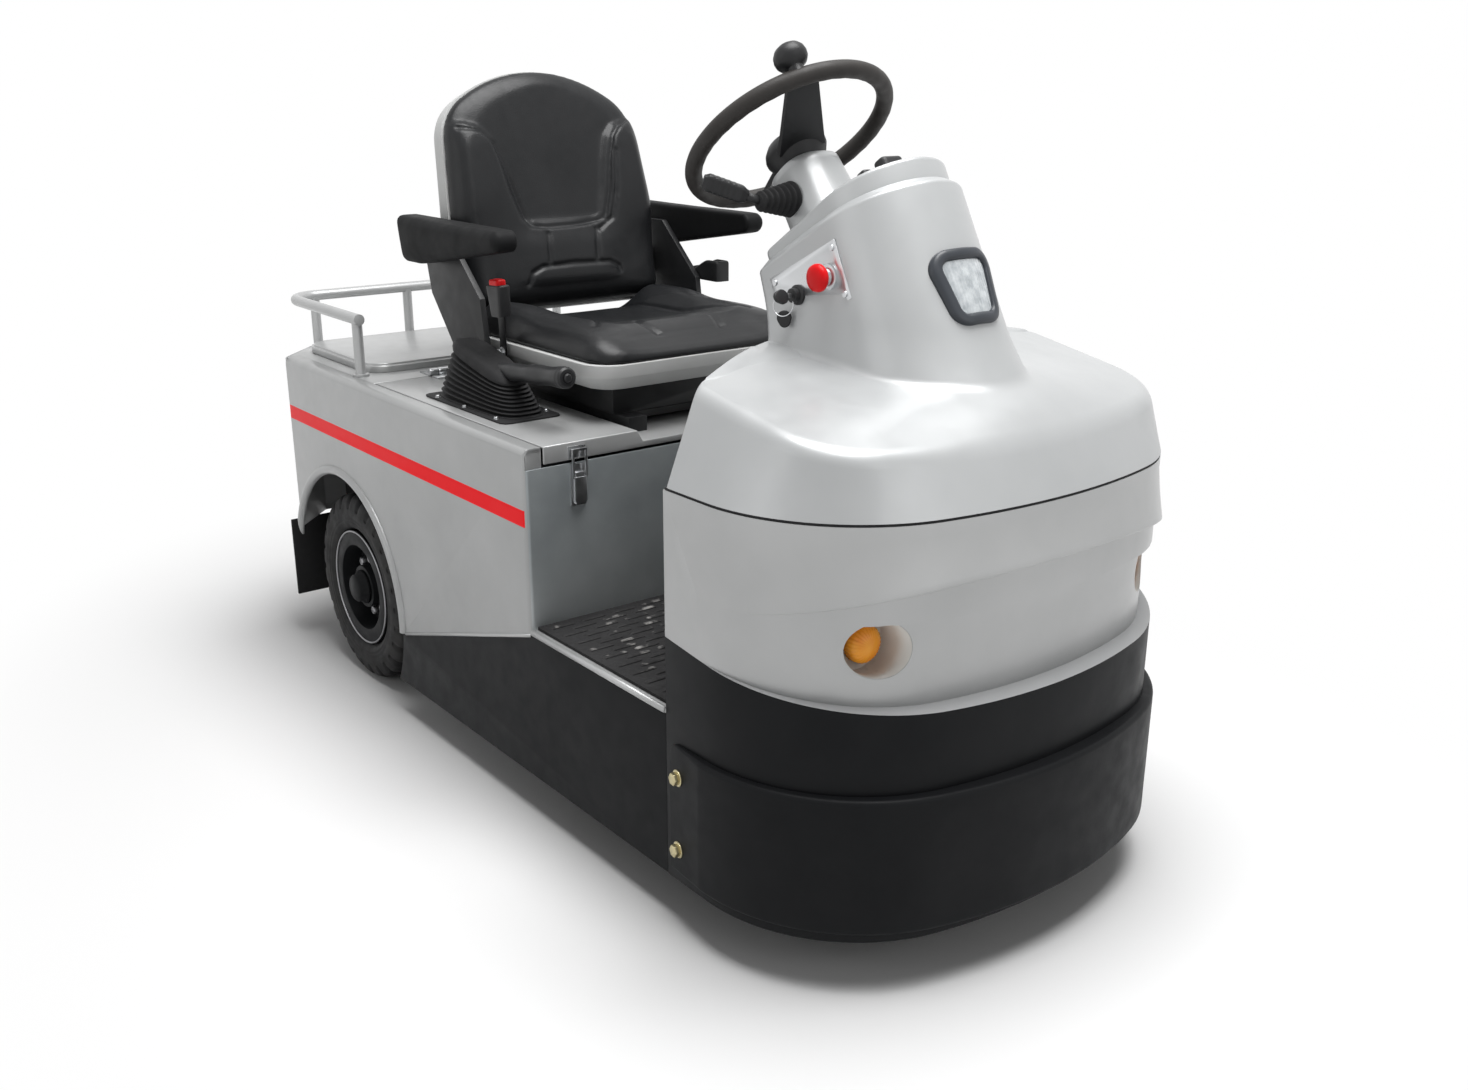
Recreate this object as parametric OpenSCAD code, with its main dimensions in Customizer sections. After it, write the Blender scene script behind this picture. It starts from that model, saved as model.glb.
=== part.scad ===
// Airport baggage tug: a seated three-wheel electric tow tractor.
// Millimetres. +X forwards, +Y to the driver's left, +Z up.
// The origin is on the ground, below the middle of the overall length and width.

/* [Overall] */
// Width over the side panels
body_w = 848; // [780:2:920]
// Rear panel to the front face of the seat box
rear_body_l = 1129; // [1080:1:1200]
// Length of the open step between the seat box and the nose
step_l = 401; // [360:1:460]
// Length of the nose, step to black band
nose_l = 399; // [380:1:430]
// How far the bumper stands in front of the black band
bumper_proud = 25; // [18:1:36]
// How far the tow hitch stands behind the rear panel
hitch_reach = 96; // [90:1:120]
// Height of the rear deck
deck_z = 681; // [650:1:720]
// Height of the step floor
step_z = 360; // [350:1:370]
// Underside of the black skirts
skirt_z = 77; // [60:1:100]
// Body sheet thickness
sheet = 4; // [3:0.5:6]

/* [Rear body] */
// Size of the 45 degree rear corners
rear_chamfer = 95; // [70:1:120]
// Width of the turned-in top rim of the side panels
rim_w = 34; // [28:1:40]
// Outside bend radius of the top rim
rim_r = 14; // [8:1:18]
// Rear panel to rear axle
rear_overhang = 342; // [335:1:360]
// Radius of the rear wheel opening
arch_r = 255; // [240:1:262]
// Width of the lip round the wheel opening
arch_lip = 20; // [12:1:26]
// How far that rolled lip stands out
arch_proud = 8; // [5:0.5:9]
// Lower edge of the side panel at the wheel opening
panel_low_z = 200; // [180:1:230]
// Lower edge of the rear panel
rear_low_z = 290; // [270:1:320]
// Length of the fixed rear deck
deck_l = 475; // [465:1:485]
// Height of the raised tray panel
tray_h = 19; // [12:1:26]
// Corner radius of the tray panel
tray_r = 50; // [30:1:70]
// Deck left free behind the tray panel
tray_rear = 45; // [35:1:55]
// Deck left free in front of the tray panel
tray_front = 80; // [60:1:90]
// Radius of the seat box's front corners
box_r = 10; // [6:1:14]
// Brake lever outside the seat hoop
lever_out = 38; // [36:1:44]
// Lid latch from the side of the body
latch_inset = 104; // [80:1:130]

/* [Rail] */
// Diameter of the rail tube
rail_d = 23; // [18:1:28]
// Height of the rail tube above the deck
rail_h = 117; // [90:1:140]
// Bend radius of the rail corners
rail_bend = 62; // [50:1:80]

/* [Chassis] */
// Width of a frame rail
rail_w = 60; // [50:1:70]
// Underside of the frame rails
rail_z0 = 262; // [255:1:280]
// Frame rail to the inner face of a rear tyre
rail_gap = 18; // [12:1:24]
// Underside of the battery
battery_z = 185; // [175:1:200]
// Battery's top below the deck
battery_drop = 80; // [70:1:120]
// Battery to the gear housing behind it
battery_rear = 101; // [80:1:120]
// Battery to the seat box front
battery_front = 34; // [30:1:60]
// Radius of the axle's gear housing
gear_r = 92; // [84:1:96]

/* [Wheels] */
// Outside diameter of a rear tyre
rear_tyre_d = 415; // [400:1:425]
// Width of a rear tyre
rear_tyre_w = 112; // [100:1:116]
// Gap from the side panel's outside to the tyre's outer face
wheel_inset = 19; // [14:1:30]
// Diameter of the rear rim flange
rear_rim_d = 252; // [240:1:262]
// Shoulder lugs on each side of a rear tyre
lug_count = 26; // [20:1:30]
// Outside diameter of the front tyre
front_tyre_d = 320; // [300:1:326]
// Width of the front tyre
front_tyre_w = 100; // [90:1:104]
// Black band to the steering pivot
pivot_setback = 200; // [192:1:206]

/* [Nose] */
// Wall thickness of the nose pieces
nose_wall = 5; // [4:0.5:7]
// Height of the seam below the top cover
seam_z = 707; // [690:1:725]
// Height of the crease round the nose
crease_z = 566; // [556:1:585]
// Top of the black band at the nose's rear corner
band_rear_z = 479; // [465:1:490]
// Top of the black band at the front
band_front_z = 431; // [420:1:445]
// Front of the silver shell behind the black band
shell_setback = 18; // [12:1:24]
// Depth of the recessed panel below the crease
crease_depth = 12; // [8:1:18]
// Underside of the bumper
bumper_low_z = 97; // [85:1:110]
// Top of the bumper
bumper_top_z = 314; // [295:1:330]
// How far the bumper stands out at each side
bumper_side = 14; // [10:1:20]
// Thickness of the bumper at its rear ends
bumper_end = 3; // [2:0.5:6]
// Corner radius of the bumper's plan
bumper_corner = 300; // [290:1:310]
// Front radius of the bumper's plan
bumper_crown = 760; // [740:1:800]
// Corner radius of the black band's plan
band_corner = 280; // [270:1:286]
// Front radius of the black band's plan
band_crown = 900; // [880:1:920]
// Corner radius of the silver shell's plan
shell_corner = 262; // [256:1:266]
// Front radius of the silver shell's plan
shell_crown = 1000; // [980:1:1040]
// Height of the indicator lamps
indicator_z = 525; // [515:1:528]
// Indicator lamps from the middle
indicator_y = 288; // [280:1:296]

/* [Control tower] */
// Lean of the tower
tower_tilt = 27; // [24:1:30]
// Half width of the tower
tower_r = 125; // [116:1:132]
// Flat length of the tower's side
tower_side = 178; // [160:1:190]
// Depth of the tower's rear top edge below the cap's datum
cap_h = 30; // [22:1:36]
// Width of the sloped ledge round the cap
cap_ledge = 13; // [10:1:16]
// Extra slope of the tower's top towards the front
top_rise = 3.2; // [2:0.2:4]
// Extra slope of the cap's top towards the front
cap_rise = 7.2; // [6:0.2:8]
// Tower's rear top edge behind the nose's rear edge
tower_back = 172; // [160:1:184]
// Height of the tower's rear top edge
tower_z = 1000; // [985:1:1015]
// Height of the cover's roof at the tower's rear, above the deck
roof_h = 187; // [180:1:195]
// Fall of the cover's roof along the tower
roof_fall = 3.6; // [2:0.2:5]
// Length of the control plate
plate_l = 164; // [150:1:170]
// Width of the control plate
plate_w = 92; // [84:1:96]
// Control plate's middle below the tower's datum
plate_drop = 97; // [95:1:101]
// Width of the head lamp at its top
lamp_w = 120; // [110:1:126]
// How much narrower each side of the head lamp is at its bottom
lamp_taper = 10; // [6:1:14]
// Height of the head lamp
lamp_h = 116; // [108:1:120]
// Corner radius of the head lamp
lamp_corner = 30; // [26:1:34]
// Width of the lamp's bezel
lamp_bezel = 14; // [12:1:18]
// How far the bezel stands out
lamp_proud = 11; // [9:1:14]
// Head lamp's middle below the tower's datum
lamp_drop = 178; // [176:1:182]

/* [Steering] */
// Tilt of the steering wheel
wheel_tilt = 39; // [36:1:42]
// Outside diameter of the steering wheel
hand_wheel_d = 366; // [350:2:380]
// Thickness of the steering wheel's rim
hand_rim = 28; // [24:1:32]
// Middle of the steering wheel behind the nose's rear edge
hand_back = 230; // [224:1:236]
// Height of the middle of the steering wheel
hand_z = 1174; // [1166:1:1182]
// Turn of the steering wheel's spokes from straight ahead
spoke_turn = -26; // [-40:1:-10]
// Diameter of the column cover
column_d = 96; // [84:1:104]

/* [Seat] */
// Width of the seat cushion
seat_w = 480; // [450:2:496]
// Seat cushion length
seat_l = 485; // [465:1:500]
// Height of the top of the seat pan
pan_z = 788; // [780:1:796]
// Thickness of the seat cushion
cushion_h = 62; // [50:1:72]
// Lean of the backrest
back_lean = 14.5; // [10:0.5:18]
// Height of the backrest along its slope
back_h = 480; // [450:1:500]
// Thickness of the backrest cushion
back_t = 76; // [60:1:86]
// Width of the backrest
back_w = 474; // [450:2:480]
// How far the backrest's shell wraps round the cushion
back_wrap = 24; // [16:1:30]
// Gap between the cushion and the seat hoop
hoop_gap = 10; // [8:1:14]
// Thickness of the seat hoop
hoop_t = 12; // [10:1:14]
// Width of an armrest
arm_w = 54; // [46:1:60]
// Reach of an armrest in front of the backrest
arm_l = 223; // [200:1:240]

/* [Tow hitch] */
// Diameter of the hitch pin bore
hitch_bore = 26; // [20:1:32]
// Open height of the hitch jaw
hitch_gap = 60; // [50:1:70]
// Middle height of the hitch jaw
hitch_z = 370; // [355:1:400]

/* [Clearances] */
// Gap round the opening lid
lid_gap = 5; // [5:0.5:8]
// Radial running clearance on pins and spindles
run_fit = 0.3; // [0.2:0.05:0.6]
// Clearance beside turning pieces
turn_gap = 6; // [5:0.5:9]

/* [Hidden] */
$fn = 96;
half_w = body_w / 2;
overall_l = hitch_reach + rear_body_l + step_l + nose_l + bumper_proud;
x_tip = overall_l / 2;
x_band = x_tip - bumper_proud;
x_nose = x_band - nose_l;
x_box = x_nose - step_l;
x_rear = x_box - rear_body_l;
x_side = x_rear + rear_chamfer;
x_axle = x_rear + rear_overhang;
x_pivot = x_band - pivot_setback;
x_deck = x_rear + deck_l;
x_lid = x_deck + lid_gap;
y_lid = half_w - rim_w - lid_gap;
wheel_z = rear_tyre_d / 2;
wheel_y = half_w - wheel_inset - rear_tyre_w / 2;
front_z = front_tyre_d / 2;
lid_low = 20;
hinge_z = deck_z + 8;
hinge_x = x_lid - lid_gap / 2;
rail_y1 = wheel_y - rear_tyre_w / 2 - rail_gap;
rail_y0 = rail_y1 - rail_w;
rail_z1 = step_z - 8;
x_front = x_band - shell_setback;
x_dip = x_front - crease_depth;
band_angle = atan((band_rear_z - band_front_z) / nose_l);
tower_x = x_nose - tower_back;
hand_x = x_nose - hand_back;
latch_y = -half_w + latch_inset;
battery_x0 = x_axle + gear_r + battery_rear;
battery_x1 = x_box - battery_front;
seat_x1 = x_box - 50;
seat_x0 = seat_x1 - seat_l;
base_z = deck_z + 54;
back_x = seat_x0 + 50;
back_z = pan_z + 37;
frame_y0 = max(seat_w, back_w) / 2 + hoop_gap;
frame_y1 = frame_y0 + hoop_t;
lever_y = -frame_y1 - lever_out;
base_y = seat_w / 2 - 62;
recess_y = base_y + 10;
hinge_y = recess_y + 46;
cushion_tilt = atan((cushion_h - 32) / (seat_l - 130));
roof_x = tower_x + (tower_z - deck_z - roof_h) * tan(tower_tilt);
eps = 0.01;

// Upright plate: a profile drawn in X and Z, from y0 towards +Y
module upright(y0, t) {
    translate([0, y0 + t, 0]) rotate([90, 0, 0]) linear_extrude(t) children();
}

// Plan outline of the nose: straight sides, two corner arcs and one broad front arc, all tangent
module nose_plan(hw, back, front, corner, crown) {
    cy = hw - corner;
    fc = front - crown;
    cx = fc + sqrt(pow(crown - corner, 2) - cy * cy);
    tx = fc + (cx - fc) * crown / (crown - corner);
    ty = cy * crown / (crown - corner);
    // The corner arcs stand a hair proud, so that they cross the front arc at one clear point
    proud = 1 + 0.06 / (crown - corner);
    intersection() {
        union() {
            polygon([[back, -hw], [cx, -hw], [tx, -ty], [tx, ty], [cx, hw], [back, hw]]);
            for (s = [-1, 1]) translate([fc + proud * (cx - fc), s * proud * cy]) circle(corner);
            intersection() {
                translate([fc, 0]) circle(crown);
                polygon([[fc, 0], [fc + 1.3 * (tx - fc), -1.3 * ty], [fc + 1.3 * (tx - fc), 1.3 * ty]]);
            }
        }
        translate([back, -hw - 10]) square([front - back + 10, 2 * hw + 20]);
    }
}

module band_plan(inset) {
    nose_plan(half_w - inset, x_nose, x_band - inset, band_corner - inset, band_crown - inset);
}

module shell_plan(inset) {
    nose_plan(half_w - inset, x_nose, x_front - inset, shell_corner - inset, shell_crown - inset);
}

module dip_plan(inset) {
    nose_plan(half_w - inset, x_nose, x_dip - inset, shell_corner + 10 - inset, shell_crown - inset);
}

// Everything above the sloping joint between the black band and the silver shell, lowered by d
module above_band(d) {
    translate([x_nose, 0, band_rear_z - d]) rotate([0, band_angle, 0])
        translate([-100, -600, 0]) cube([700, 1200, 600]);
}

module below_band(d) {
    translate([x_nose, 0, band_rear_z - d]) rotate([0, band_angle, 0])
        translate([-100, -600, -600]) cube([700, 1200, 600]);
}

// Frame of the control tower: u along its top towards the front, w up its axis
module in_tower() {
    translate([tower_x, 0, tower_z]) rotate([0, -tower_tilt, 0]) children();
}

// Everything above the tower's sloping top, lowered by d
module above_tower(d) {
    in_tower() translate([0, 0, -cap_h - d]) rotate([0, -top_rise, 0]) translate([-100, -300, 0])
        cube([700, 600, 300]);
}

// Frame of the cap's sloping top
module in_cap() {
    in_tower() translate([0, 0, -4]) rotate([0, -cap_rise, 0]) children();
}

// Everything above the cover's roof line along the tower, lowered by d
module above_roof(d) {
    translate([roof_x, 0, deck_z + roof_h - d]) rotate([0, roof_fall, 0]) translate([-300, -300, 0])
        cube([900, 600, 600]);
}

// Section of the tower: flat sides and a round front
module tower_plan(inset) {
    r = 12;
    translate([r + inset, -tower_r + inset]) square([tower_side - r - inset, 2 * (tower_r - inset)]);
    translate([inset, -tower_r + r + inset]) square([r + 1, 2 * (tower_r - r - inset)]);
    for (s = [-1, 1]) translate([r + inset, s * (tower_r - r - inset)]) circle(r);
    translate([tower_side, 0]) circle(tower_r - inset);
}

// Frame of the steering wheel: its z runs up the column
module in_column() {
    translate([hand_x, 0, hand_z]) rotate([0, -wheel_tilt, 0]) children();
}

// Frame of the backrest: z up its slope, x forwards out of its face
module in_back() {
    translate([back_x, 0, back_z]) rotate([0, -back_lean, 0]) children();
}

// Plan of the seat box with its rounded front corners
module box_plan() {
    translate([x_rear, -half_w]) square([x_box - box_r - x_rear, body_w]);
    translate([x_rear, -half_w + box_r]) square([x_box - x_rear, body_w - 2 * box_r]);
    for (s = [-1, 1]) translate([x_box - box_r, s * (half_w - box_r)]) circle(box_r);
}

// Frame of the brake lever: z runs along its grip
module in_lever() {
    translate([x_box - 325, lever_y, deck_z + 69]) rotate([0, 84, 0]) children();
}

module round_rect(x0, x1, hw, r) {
    translate([x0 + r, -hw]) square([x1 - x0 - 2 * r, 2 * hw]);
    translate([x0, -hw + r]) square([x1 - x0, 2 * (hw - r)]);
    for (x = [x0 + r, x1 - r], s = [-1, 1]) translate([x, s * (hw - r)]) circle(r);
}

// Two long rails, cross members, the battery cradle and the steering head
module chassis_frame() color("dimgray") {
    x0 = x_rear + sheet;
    x1 = x_pivot + 110;
    cradle_l = battery_x1 - battery_x0 + 10;
    difference() {
        union() {
            for (s = [-1, 1]) {
                translate([x0, s > 0 ? rail_y0 : -rail_y1, rail_z0]) cube([x1 - x0, rail_w, rail_z1 - rail_z0]);
                translate([battery_x0 - 6, s > 0 ? rail_y0 - 8 : -rail_y0, battery_z - 14])
                    cube([cradle_l, 8, rail_z1 - battery_z + 14]);
            }
            translate([battery_x0 - 6, -rail_y0, battery_z - 14]) cube([cradle_l, 2 * rail_y0, 14]);
            translate([x0, -rail_y0, rail_z0]) cube([40, 2 * rail_y0, rail_z1 - rail_z0]);
            translate([x_nose - 60, -rail_y0, rail_z0]) cube([40, 2 * rail_y0, rail_z1 - rail_z0]);
            translate([x_pivot - 90, -rail_y1, rail_z1]) cube([200, 2 * rail_y1, 12]);
            translate([x_pivot, 0, rail_z1]) cylinder(r = 48, h = 118);
        }
        translate([x_pivot, 0, rail_z1 - 1]) cylinder(r = 30 + run_fit, h = 130);
    }
}

// Step floor with a turned edge that shows above the skirts
module floor_plate() color("silver") {
    translate([x_box, -half_w, rail_z1]) cube([step_l, body_w, step_z - rail_z1]);
}

module floor_mat() color("dimgray") {
    translate([x_box + 4, -half_w + 12, step_z]) cube([step_l - 8, body_w - 24, 6]);
    for (i = [0 : 8]) translate([x_box + 22 + i * (step_l - 60) / 8, -half_w + 24, step_z + 6 - eps])
        cube([16, body_w - 48, 4]);
}

// Black skirt below the side panel and the step
module side_skirts() color("#202224") {
    for (s = [-1, 1]) upright(s > 0 ? half_w - sheet : -half_w, sheet) difference() {
        polygon([[x_axle, skirt_z], [x_nose, skirt_z], [x_nose, rail_z1], [x_box, rail_z1],
            [x_axle + arch_r + arch_lip, panel_low_z - 8], [x_axle, panel_low_z - 8]]);
        translate([x_axle, wheel_z]) circle(arch_r + 6);
    }
}

module side_profile() {
    polygon([[x_side, panel_low_z], [x_side, deck_z], [x_box, deck_z], [x_box, rail_z1],
        [x_axle + arch_r + arch_lip, panel_low_z - 8]]);
}

// Silver side: sheet with a turned-in top rim, a rounded front corner and a rolled bead round the wheel
module side_panel() {
    difference() {
        intersection() {
            translate([x_side, 0, 0]) rotate([90, 0, 90]) linear_extrude(x_box - x_side) difference() {
                union() {
                    translate([half_w - rim_w, 0]) square([rim_w - rim_r, deck_z]);
                    translate([half_w - rim_w, 0]) square([rim_w, deck_z - rim_r]);
                    translate([half_w - rim_r, deck_z - rim_r]) circle(rim_r);
                }
                translate([half_w - rim_w - 1, -1]) square([rim_w + 1 - rim_r, deck_z + 1 - sheet]);
                translate([half_w - rim_w - 1, -1]) square([rim_w + 1 - sheet, deck_z + 1 - rim_r]);
                translate([half_w - rim_r, deck_z - rim_r]) circle(rim_r - sheet);
            }
            upright(half_w - rim_w - 1, rim_w + 2) side_profile();
            translate([0, 0, -1]) linear_extrude(deck_z + 2) box_plan();
        }
        translate([x_axle, half_w + 1, wheel_z]) rotate([90, 0, 0]) cylinder(r = arch_r, h = rim_w + 2);
    }
    intersection() {
        translate([x_axle, half_w + arch_proud - arch_lip / 2, wheel_z]) rotate([90, 0, 0]) rotate_extrude()
            translate([arch_r + arch_lip / 2, 0]) circle(arch_lip / 2);
        upright(half_w - sheet / 2, arch_lip) side_profile();
    }
}

module side_panels() color("silver") {
    side_panel();
    mirror([0, 1, 0]) side_panel();
}

// Rear wall with its two angled corners
module rear_panel() color("silver") {
    d = sheet * sqrt(2);
    e = sheet * (sqrt(2) - 1);
    translate([0, 0, rear_low_z]) linear_extrude(deck_z - rear_low_z) polygon([
        [x_side, half_w], [x_rear, half_w - rear_chamfer], [x_rear, -half_w + rear_chamfer], [x_side, -half_w],
        [x_side, -half_w + d], [x_rear + sheet, -half_w + rear_chamfer + e],
        [x_rear + sheet, half_w - rear_chamfer - e], [x_side, half_w - d]]);
}

module seat_box_front() color("silver") {
    intersection() {
        translate([x_box - sheet, -half_w + sheet, step_z - 8])
            cube([sheet, body_w - 2 * sheet, deck_z - 36 - step_z + 8]);
        linear_extrude(deck_z) box_plan();
    }
}

// Fixed deck behind the lid
module rear_deck() color("silver") {
    d = sheet * sqrt(2);
    e = sheet * (sqrt(2) - 1);
    yi = half_w - rim_w;
    translate([0, 0, deck_z - sheet]) linear_extrude(sheet) polygon([
        [x_deck, yi], [x_side, yi], [x_side, half_w - d], [x_rear + sheet, half_w - rear_chamfer - e],
        [x_rear + sheet, -half_w + rear_chamfer + e], [x_side, -half_w + d], [x_side, -yi], [x_deck, -yi]]);
}

module tray_panel() color("silver") {
    x0 = x_rear + tray_rear;
    x1 = x_deck - tray_front;
    hw = half_w - 66;
    translate([0, 0, deck_z]) linear_extrude(tray_h - 5) round_rect(x0, x1, hw, tray_r);
    translate([0, 0, deck_z + tray_h - 5 - eps]) linear_extrude(5)
        round_rect(x0 + 5, x1 - 5, hw - 5, tray_r - 5);
}

// Tubular rail round the tray, standing on the deck
module hand_rail() color("silver") {
    r = rail_d / 2;
    z = deck_z + rail_h;
    yl = half_w - rim_w - 12;
    xr = x_rear + 22;
    xe = x_deck - 75;
    for (s = [-1, 1]) {
        translate([xr + rail_bend, s * yl, z]) rotate([0, 90, 0]) cylinder(r = r, h = xe + 4 - xr - rail_bend);
        translate([xr + rail_bend, s * (yl - rail_bend), z]) rotate([0, 0, s > 0 ? 90 : 180])
            rotate_extrude(angle = 90) translate([rail_bend, 0]) circle(r);
        translate([xe - 10, s * yl, deck_z]) cylinder(r = r - 1, h = rail_h);
        translate([xe - 10, s * yl, deck_z]) cylinder(r = r + 6, h = 5);
        for (y = [90, yl - rail_bend]) {
            translate([xr, s * y, deck_z]) cylinder(r = r - 1, h = rail_h);
            translate([xr, s * y, deck_z]) cylinder(r = r + 4, h = 5);
        }
    }
    translate([xr, -yl + rail_bend, z]) rotate([-90, 0, 0]) cylinder(r = r, h = 2 * (yl - rail_bend));
}

module mud_flaps() color("#1b1c1d") {
    for (s = [-1, 1]) translate([x_side - 68, s > 0 ? half_w - 104 : -half_w, 0]) {
        translate([0, 0, 106]) cube([6, 104, rear_low_z - 106]);
    }
}

// Clevis hitch: back plate, two jaws with rounded ends and a vertical pin bore
module tow_hitch() color("#2a2c2e") {
    jaw_t = 18;
    jaw_r = 44;
    plate = 14;
    xc = x_rear - hitch_reach + jaw_r;
    difference() {
        union() {
            translate([x_rear - plate, -85, hitch_z - 80]) cube([plate, 170, 160]);
            for (z = [hitch_z - hitch_gap / 2 - jaw_t, hitch_z + hitch_gap / 2]) {
                translate([xc, 0, z]) cylinder(r = jaw_r, h = jaw_t);
                translate([xc, -jaw_r, z]) cube([x_rear - plate - xc + 1, 2 * jaw_r, jaw_t]);
            }
        }
        translate([xc, 0, hitch_z - 100]) cylinder(d = hitch_bore, h = 200);
    }
}

module tail_lamps() color("#a01812") {
    for (s = [-1, 1]) translate([x_rear, s * 245, deck_z - 100]) rotate([0, -90, 0]) {
        cylinder(r = 46, h = 10);
        translate([0, 0, 10 - eps]) cylinder(r = 38, h = 10);
    }
}

module battery() color("#30353a") {
    translate([battery_x0, -rail_y0 + 10, battery_z])
        cube([battery_x1 - battery_x0, 2 * rail_y0 - 20, deck_z - battery_drop - battery_z]);
}

// Rear drive axle: tube, spindles, spring seats, gear housing and motor
module drive_axle() color("#2b2d30") {
    translate([x_axle, 0, wheel_z]) {
        rotate([90, 0, 0]) cylinder(r = 38, h = 2 * (wheel_y - 70), center = true);
        rotate([90, 0, 0]) cylinder(r = 20, h = 2 * (wheel_y + 40), center = true);
        rotate([90, 0, 0]) cylinder(r = gear_r, h = 130, center = true);
        translate([-225, 0, 0]) rotate([0, 90, 0]) cylinder(r = 78, h = 200);
        for (s = [-1, 1]) translate([-50, s > 0 ? rail_y0 : -rail_y1, 0])
            cube([100, rail_w, rail_z0 - wheel_z]);
    }
}

// Lower nose wall with an inward ledge that carries the silver shell
module nose_band() color("#1d1f21") {
    difference() {
        translate([0, 0, skirt_z]) linear_extrude(band_rear_z - skirt_z) band_plan(0);
        above_band(0);
        intersection() {
            translate([0, 0, skirt_z - 1]) linear_extrude(600) band_plan(nose_wall);
            below_band(nose_wall);
        }
        translate([x_nose - 1, 0, skirt_z - 1]) linear_extrude(600) translate([-x_nose, 0])
            nose_plan(half_w - nose_wall, x_nose, x_dip - 14, shell_corner, shell_crown);
        translate([x_nose - 1, -half_w + nose_wall, skirt_z - 1]) cube([30, body_w - 2 * nose_wall, 600]);
    }
}

// Heavy bumper wrapped round the nose, thinned towards its rear ends, with bolt heads there
module front_bumper() color("#1a1b1d") {
    x0 = x_nose + 12;
    x1 = x_nose + 100;
    wide = half_w + bumper_side + 0.3;
    ends = half_w + bumper_end;
    translate([0, 0, bumper_low_z]) linear_extrude(bumper_top_z - bumper_low_z) difference() {
        intersection() {
            nose_plan(half_w + bumper_side, x0, x_tip, bumper_corner, bumper_crown);
            polygon([[x0 - 1, -ends], [x1, -wide], [x_tip + 20, -wide], [x_tip + 20, wide], [x1, wide],
                [x0 - 1, ends]]);
        }
        band_plan(0);
    }
    for (s = [-1, 1], z = [bumper_low_z + 41, bumper_top_z - 53])
        translate([x_nose + 36, s * (half_w + bumper_end), z]) rotate([s > 0 ? -90 : 90, 0, 0])
            cylinder(r = 11, h = 11, $fn = 6);
}

module indicator_bore(r, x) {
    for (s = [-1, 1]) translate([x, s * indicator_y, indicator_z]) rotate([0, 90, 0]) cylinder(r = r, h = 200);
}

// Silver nose shell with the crease, the two lamp cups and the joggle that the cover sits on
module nose_shell() color("silver") {
    x_cup = x_dip - 98;
    difference() {
        union() {
            difference() {
                union() {
                    translate([0, 0, crease_z]) linear_extrude(seam_z - 1 - crease_z) shell_plan(0);
                    translate([0, 0, band_front_z - 60]) linear_extrude(crease_z + 1 - band_front_z + 60)
                        dip_plan(0);
                }
                translate([-1, 0, crease_z + nose_wall]) linear_extrude(400) shell_plan(nose_wall);
                translate([-1, 0, 0]) linear_extrude(crease_z + nose_wall + 1) dip_plan(nose_wall);
            }
            translate([0, 0, seam_z - 15]) linear_extrude(18) difference() {
                shell_plan(3);
                translate([-1, 0]) shell_plan(12);
                translate([x_nose - 1, -half_w]) square([sheet + 1, body_w]);
            }
            intersection() {
                indicator_bore(46, x_cup - 4);
                translate([0, 0, band_front_z - 60]) linear_extrude(200) dip_plan(0);
            }
        }
        below_band(0);
        indicator_bore(42, x_cup);
    }
}

module indicator_lamps() color("#ff8a10") {
    x_cup = x_dip - 98;
    for (s = [-1, 1]) translate([x_cup, s * indicator_y, indicator_z]) rotate([0, 90, 0]) {
        cylinder(r = 28, h = 14);
        intersection() {
            translate([0, 0, 14 - 22]) sphere(r = 35.6);
            cylinder(r = 28, h = 60);
        }
    }
}

// Rear wall of the nose, facing the driver's feet
module nose_bulkhead() color("#2a2c2e") {
    translate([x_nose, -half_w + nose_wall, rail_z1])
        cube([sheet, body_w - 2 * nose_wall, seam_z + 3 - rail_z1]);
}

module cover_seam(d) {
    translate([0, 0, seam_z + 3 - d]) linear_extrude(1, $fn = 64)
        nose_plan(half_w - d, x_nose + d, x_front - d, shell_corner - d, shell_crown - d);
}

module cover_shoulder(d) {
    translate([x_nose, 0, deck_z + 171 - d]) rotate([0, 10.5, 0]) translate([-x_nose, 0, 0])
        linear_extrude(1, $fn = 64)
            nose_plan(half_w - 54 - d, x_nose + 2 + d, x_front - 36 - d, 130 - d, shell_crown - d);
}

// Foot of the tower, a little wider than its section
module cover_ridge(d) {
    side = tower_side / cos(tower_tilt) + 6;
    translate([roof_x, 0, deck_z + roof_h - d]) rotate([0, roof_fall, 0]) linear_extrude(1, $fn = 64) {
        translate([d - 6, -tower_r - 6 + d]) square([side, 2 * (tower_r + 6 - d)]);
        translate([side, 0]) circle(tower_r + 6 - d);
    }
}

// Moulded top cover of the nose with the leaning control tower
module nose_cover() color("silver") {
    difference() {
        union() {
            hull() {
                cover_seam(0);
                cover_shoulder(0);
            }
            hull() {
                cover_shoulder(0);
                cover_ridge(0);
            }
            difference() {
                intersection() {
                    in_tower() translate([0, 0, -360]) linear_extrude(360, $fn = 64) tower_plan(0);
                    above_roof(-0.5);
                }
                above_tower(0);
            }
            hull() for (inset = [0.6, cap_ledge])
                in_tower() translate([0, 0, -cap_h - 2]) rotate([0, -top_rise, 0])
                    translate([0, 0, inset]) linear_extrude(0.5, $fn = 64) tower_plan(inset);
        }
        hull() {
            cover_seam(6);
            cover_shoulder(6);
        }
        hull() {
            cover_shoulder(6);
            cover_ridge(6);
        }
        translate([0, 0, seam_z]) linear_extrude(6, $fn = 64)
            nose_plan(half_w - 6, x_nose + 6, x_front - 6, shell_corner - 6, shell_crown - 6);
        difference() {
            intersection() {
                in_tower() translate([0, 0, -360]) linear_extrude(360, $fn = 64) tower_plan(5);
                above_roof(7);
            }
            above_tower(5);
        }
    }
}

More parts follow.
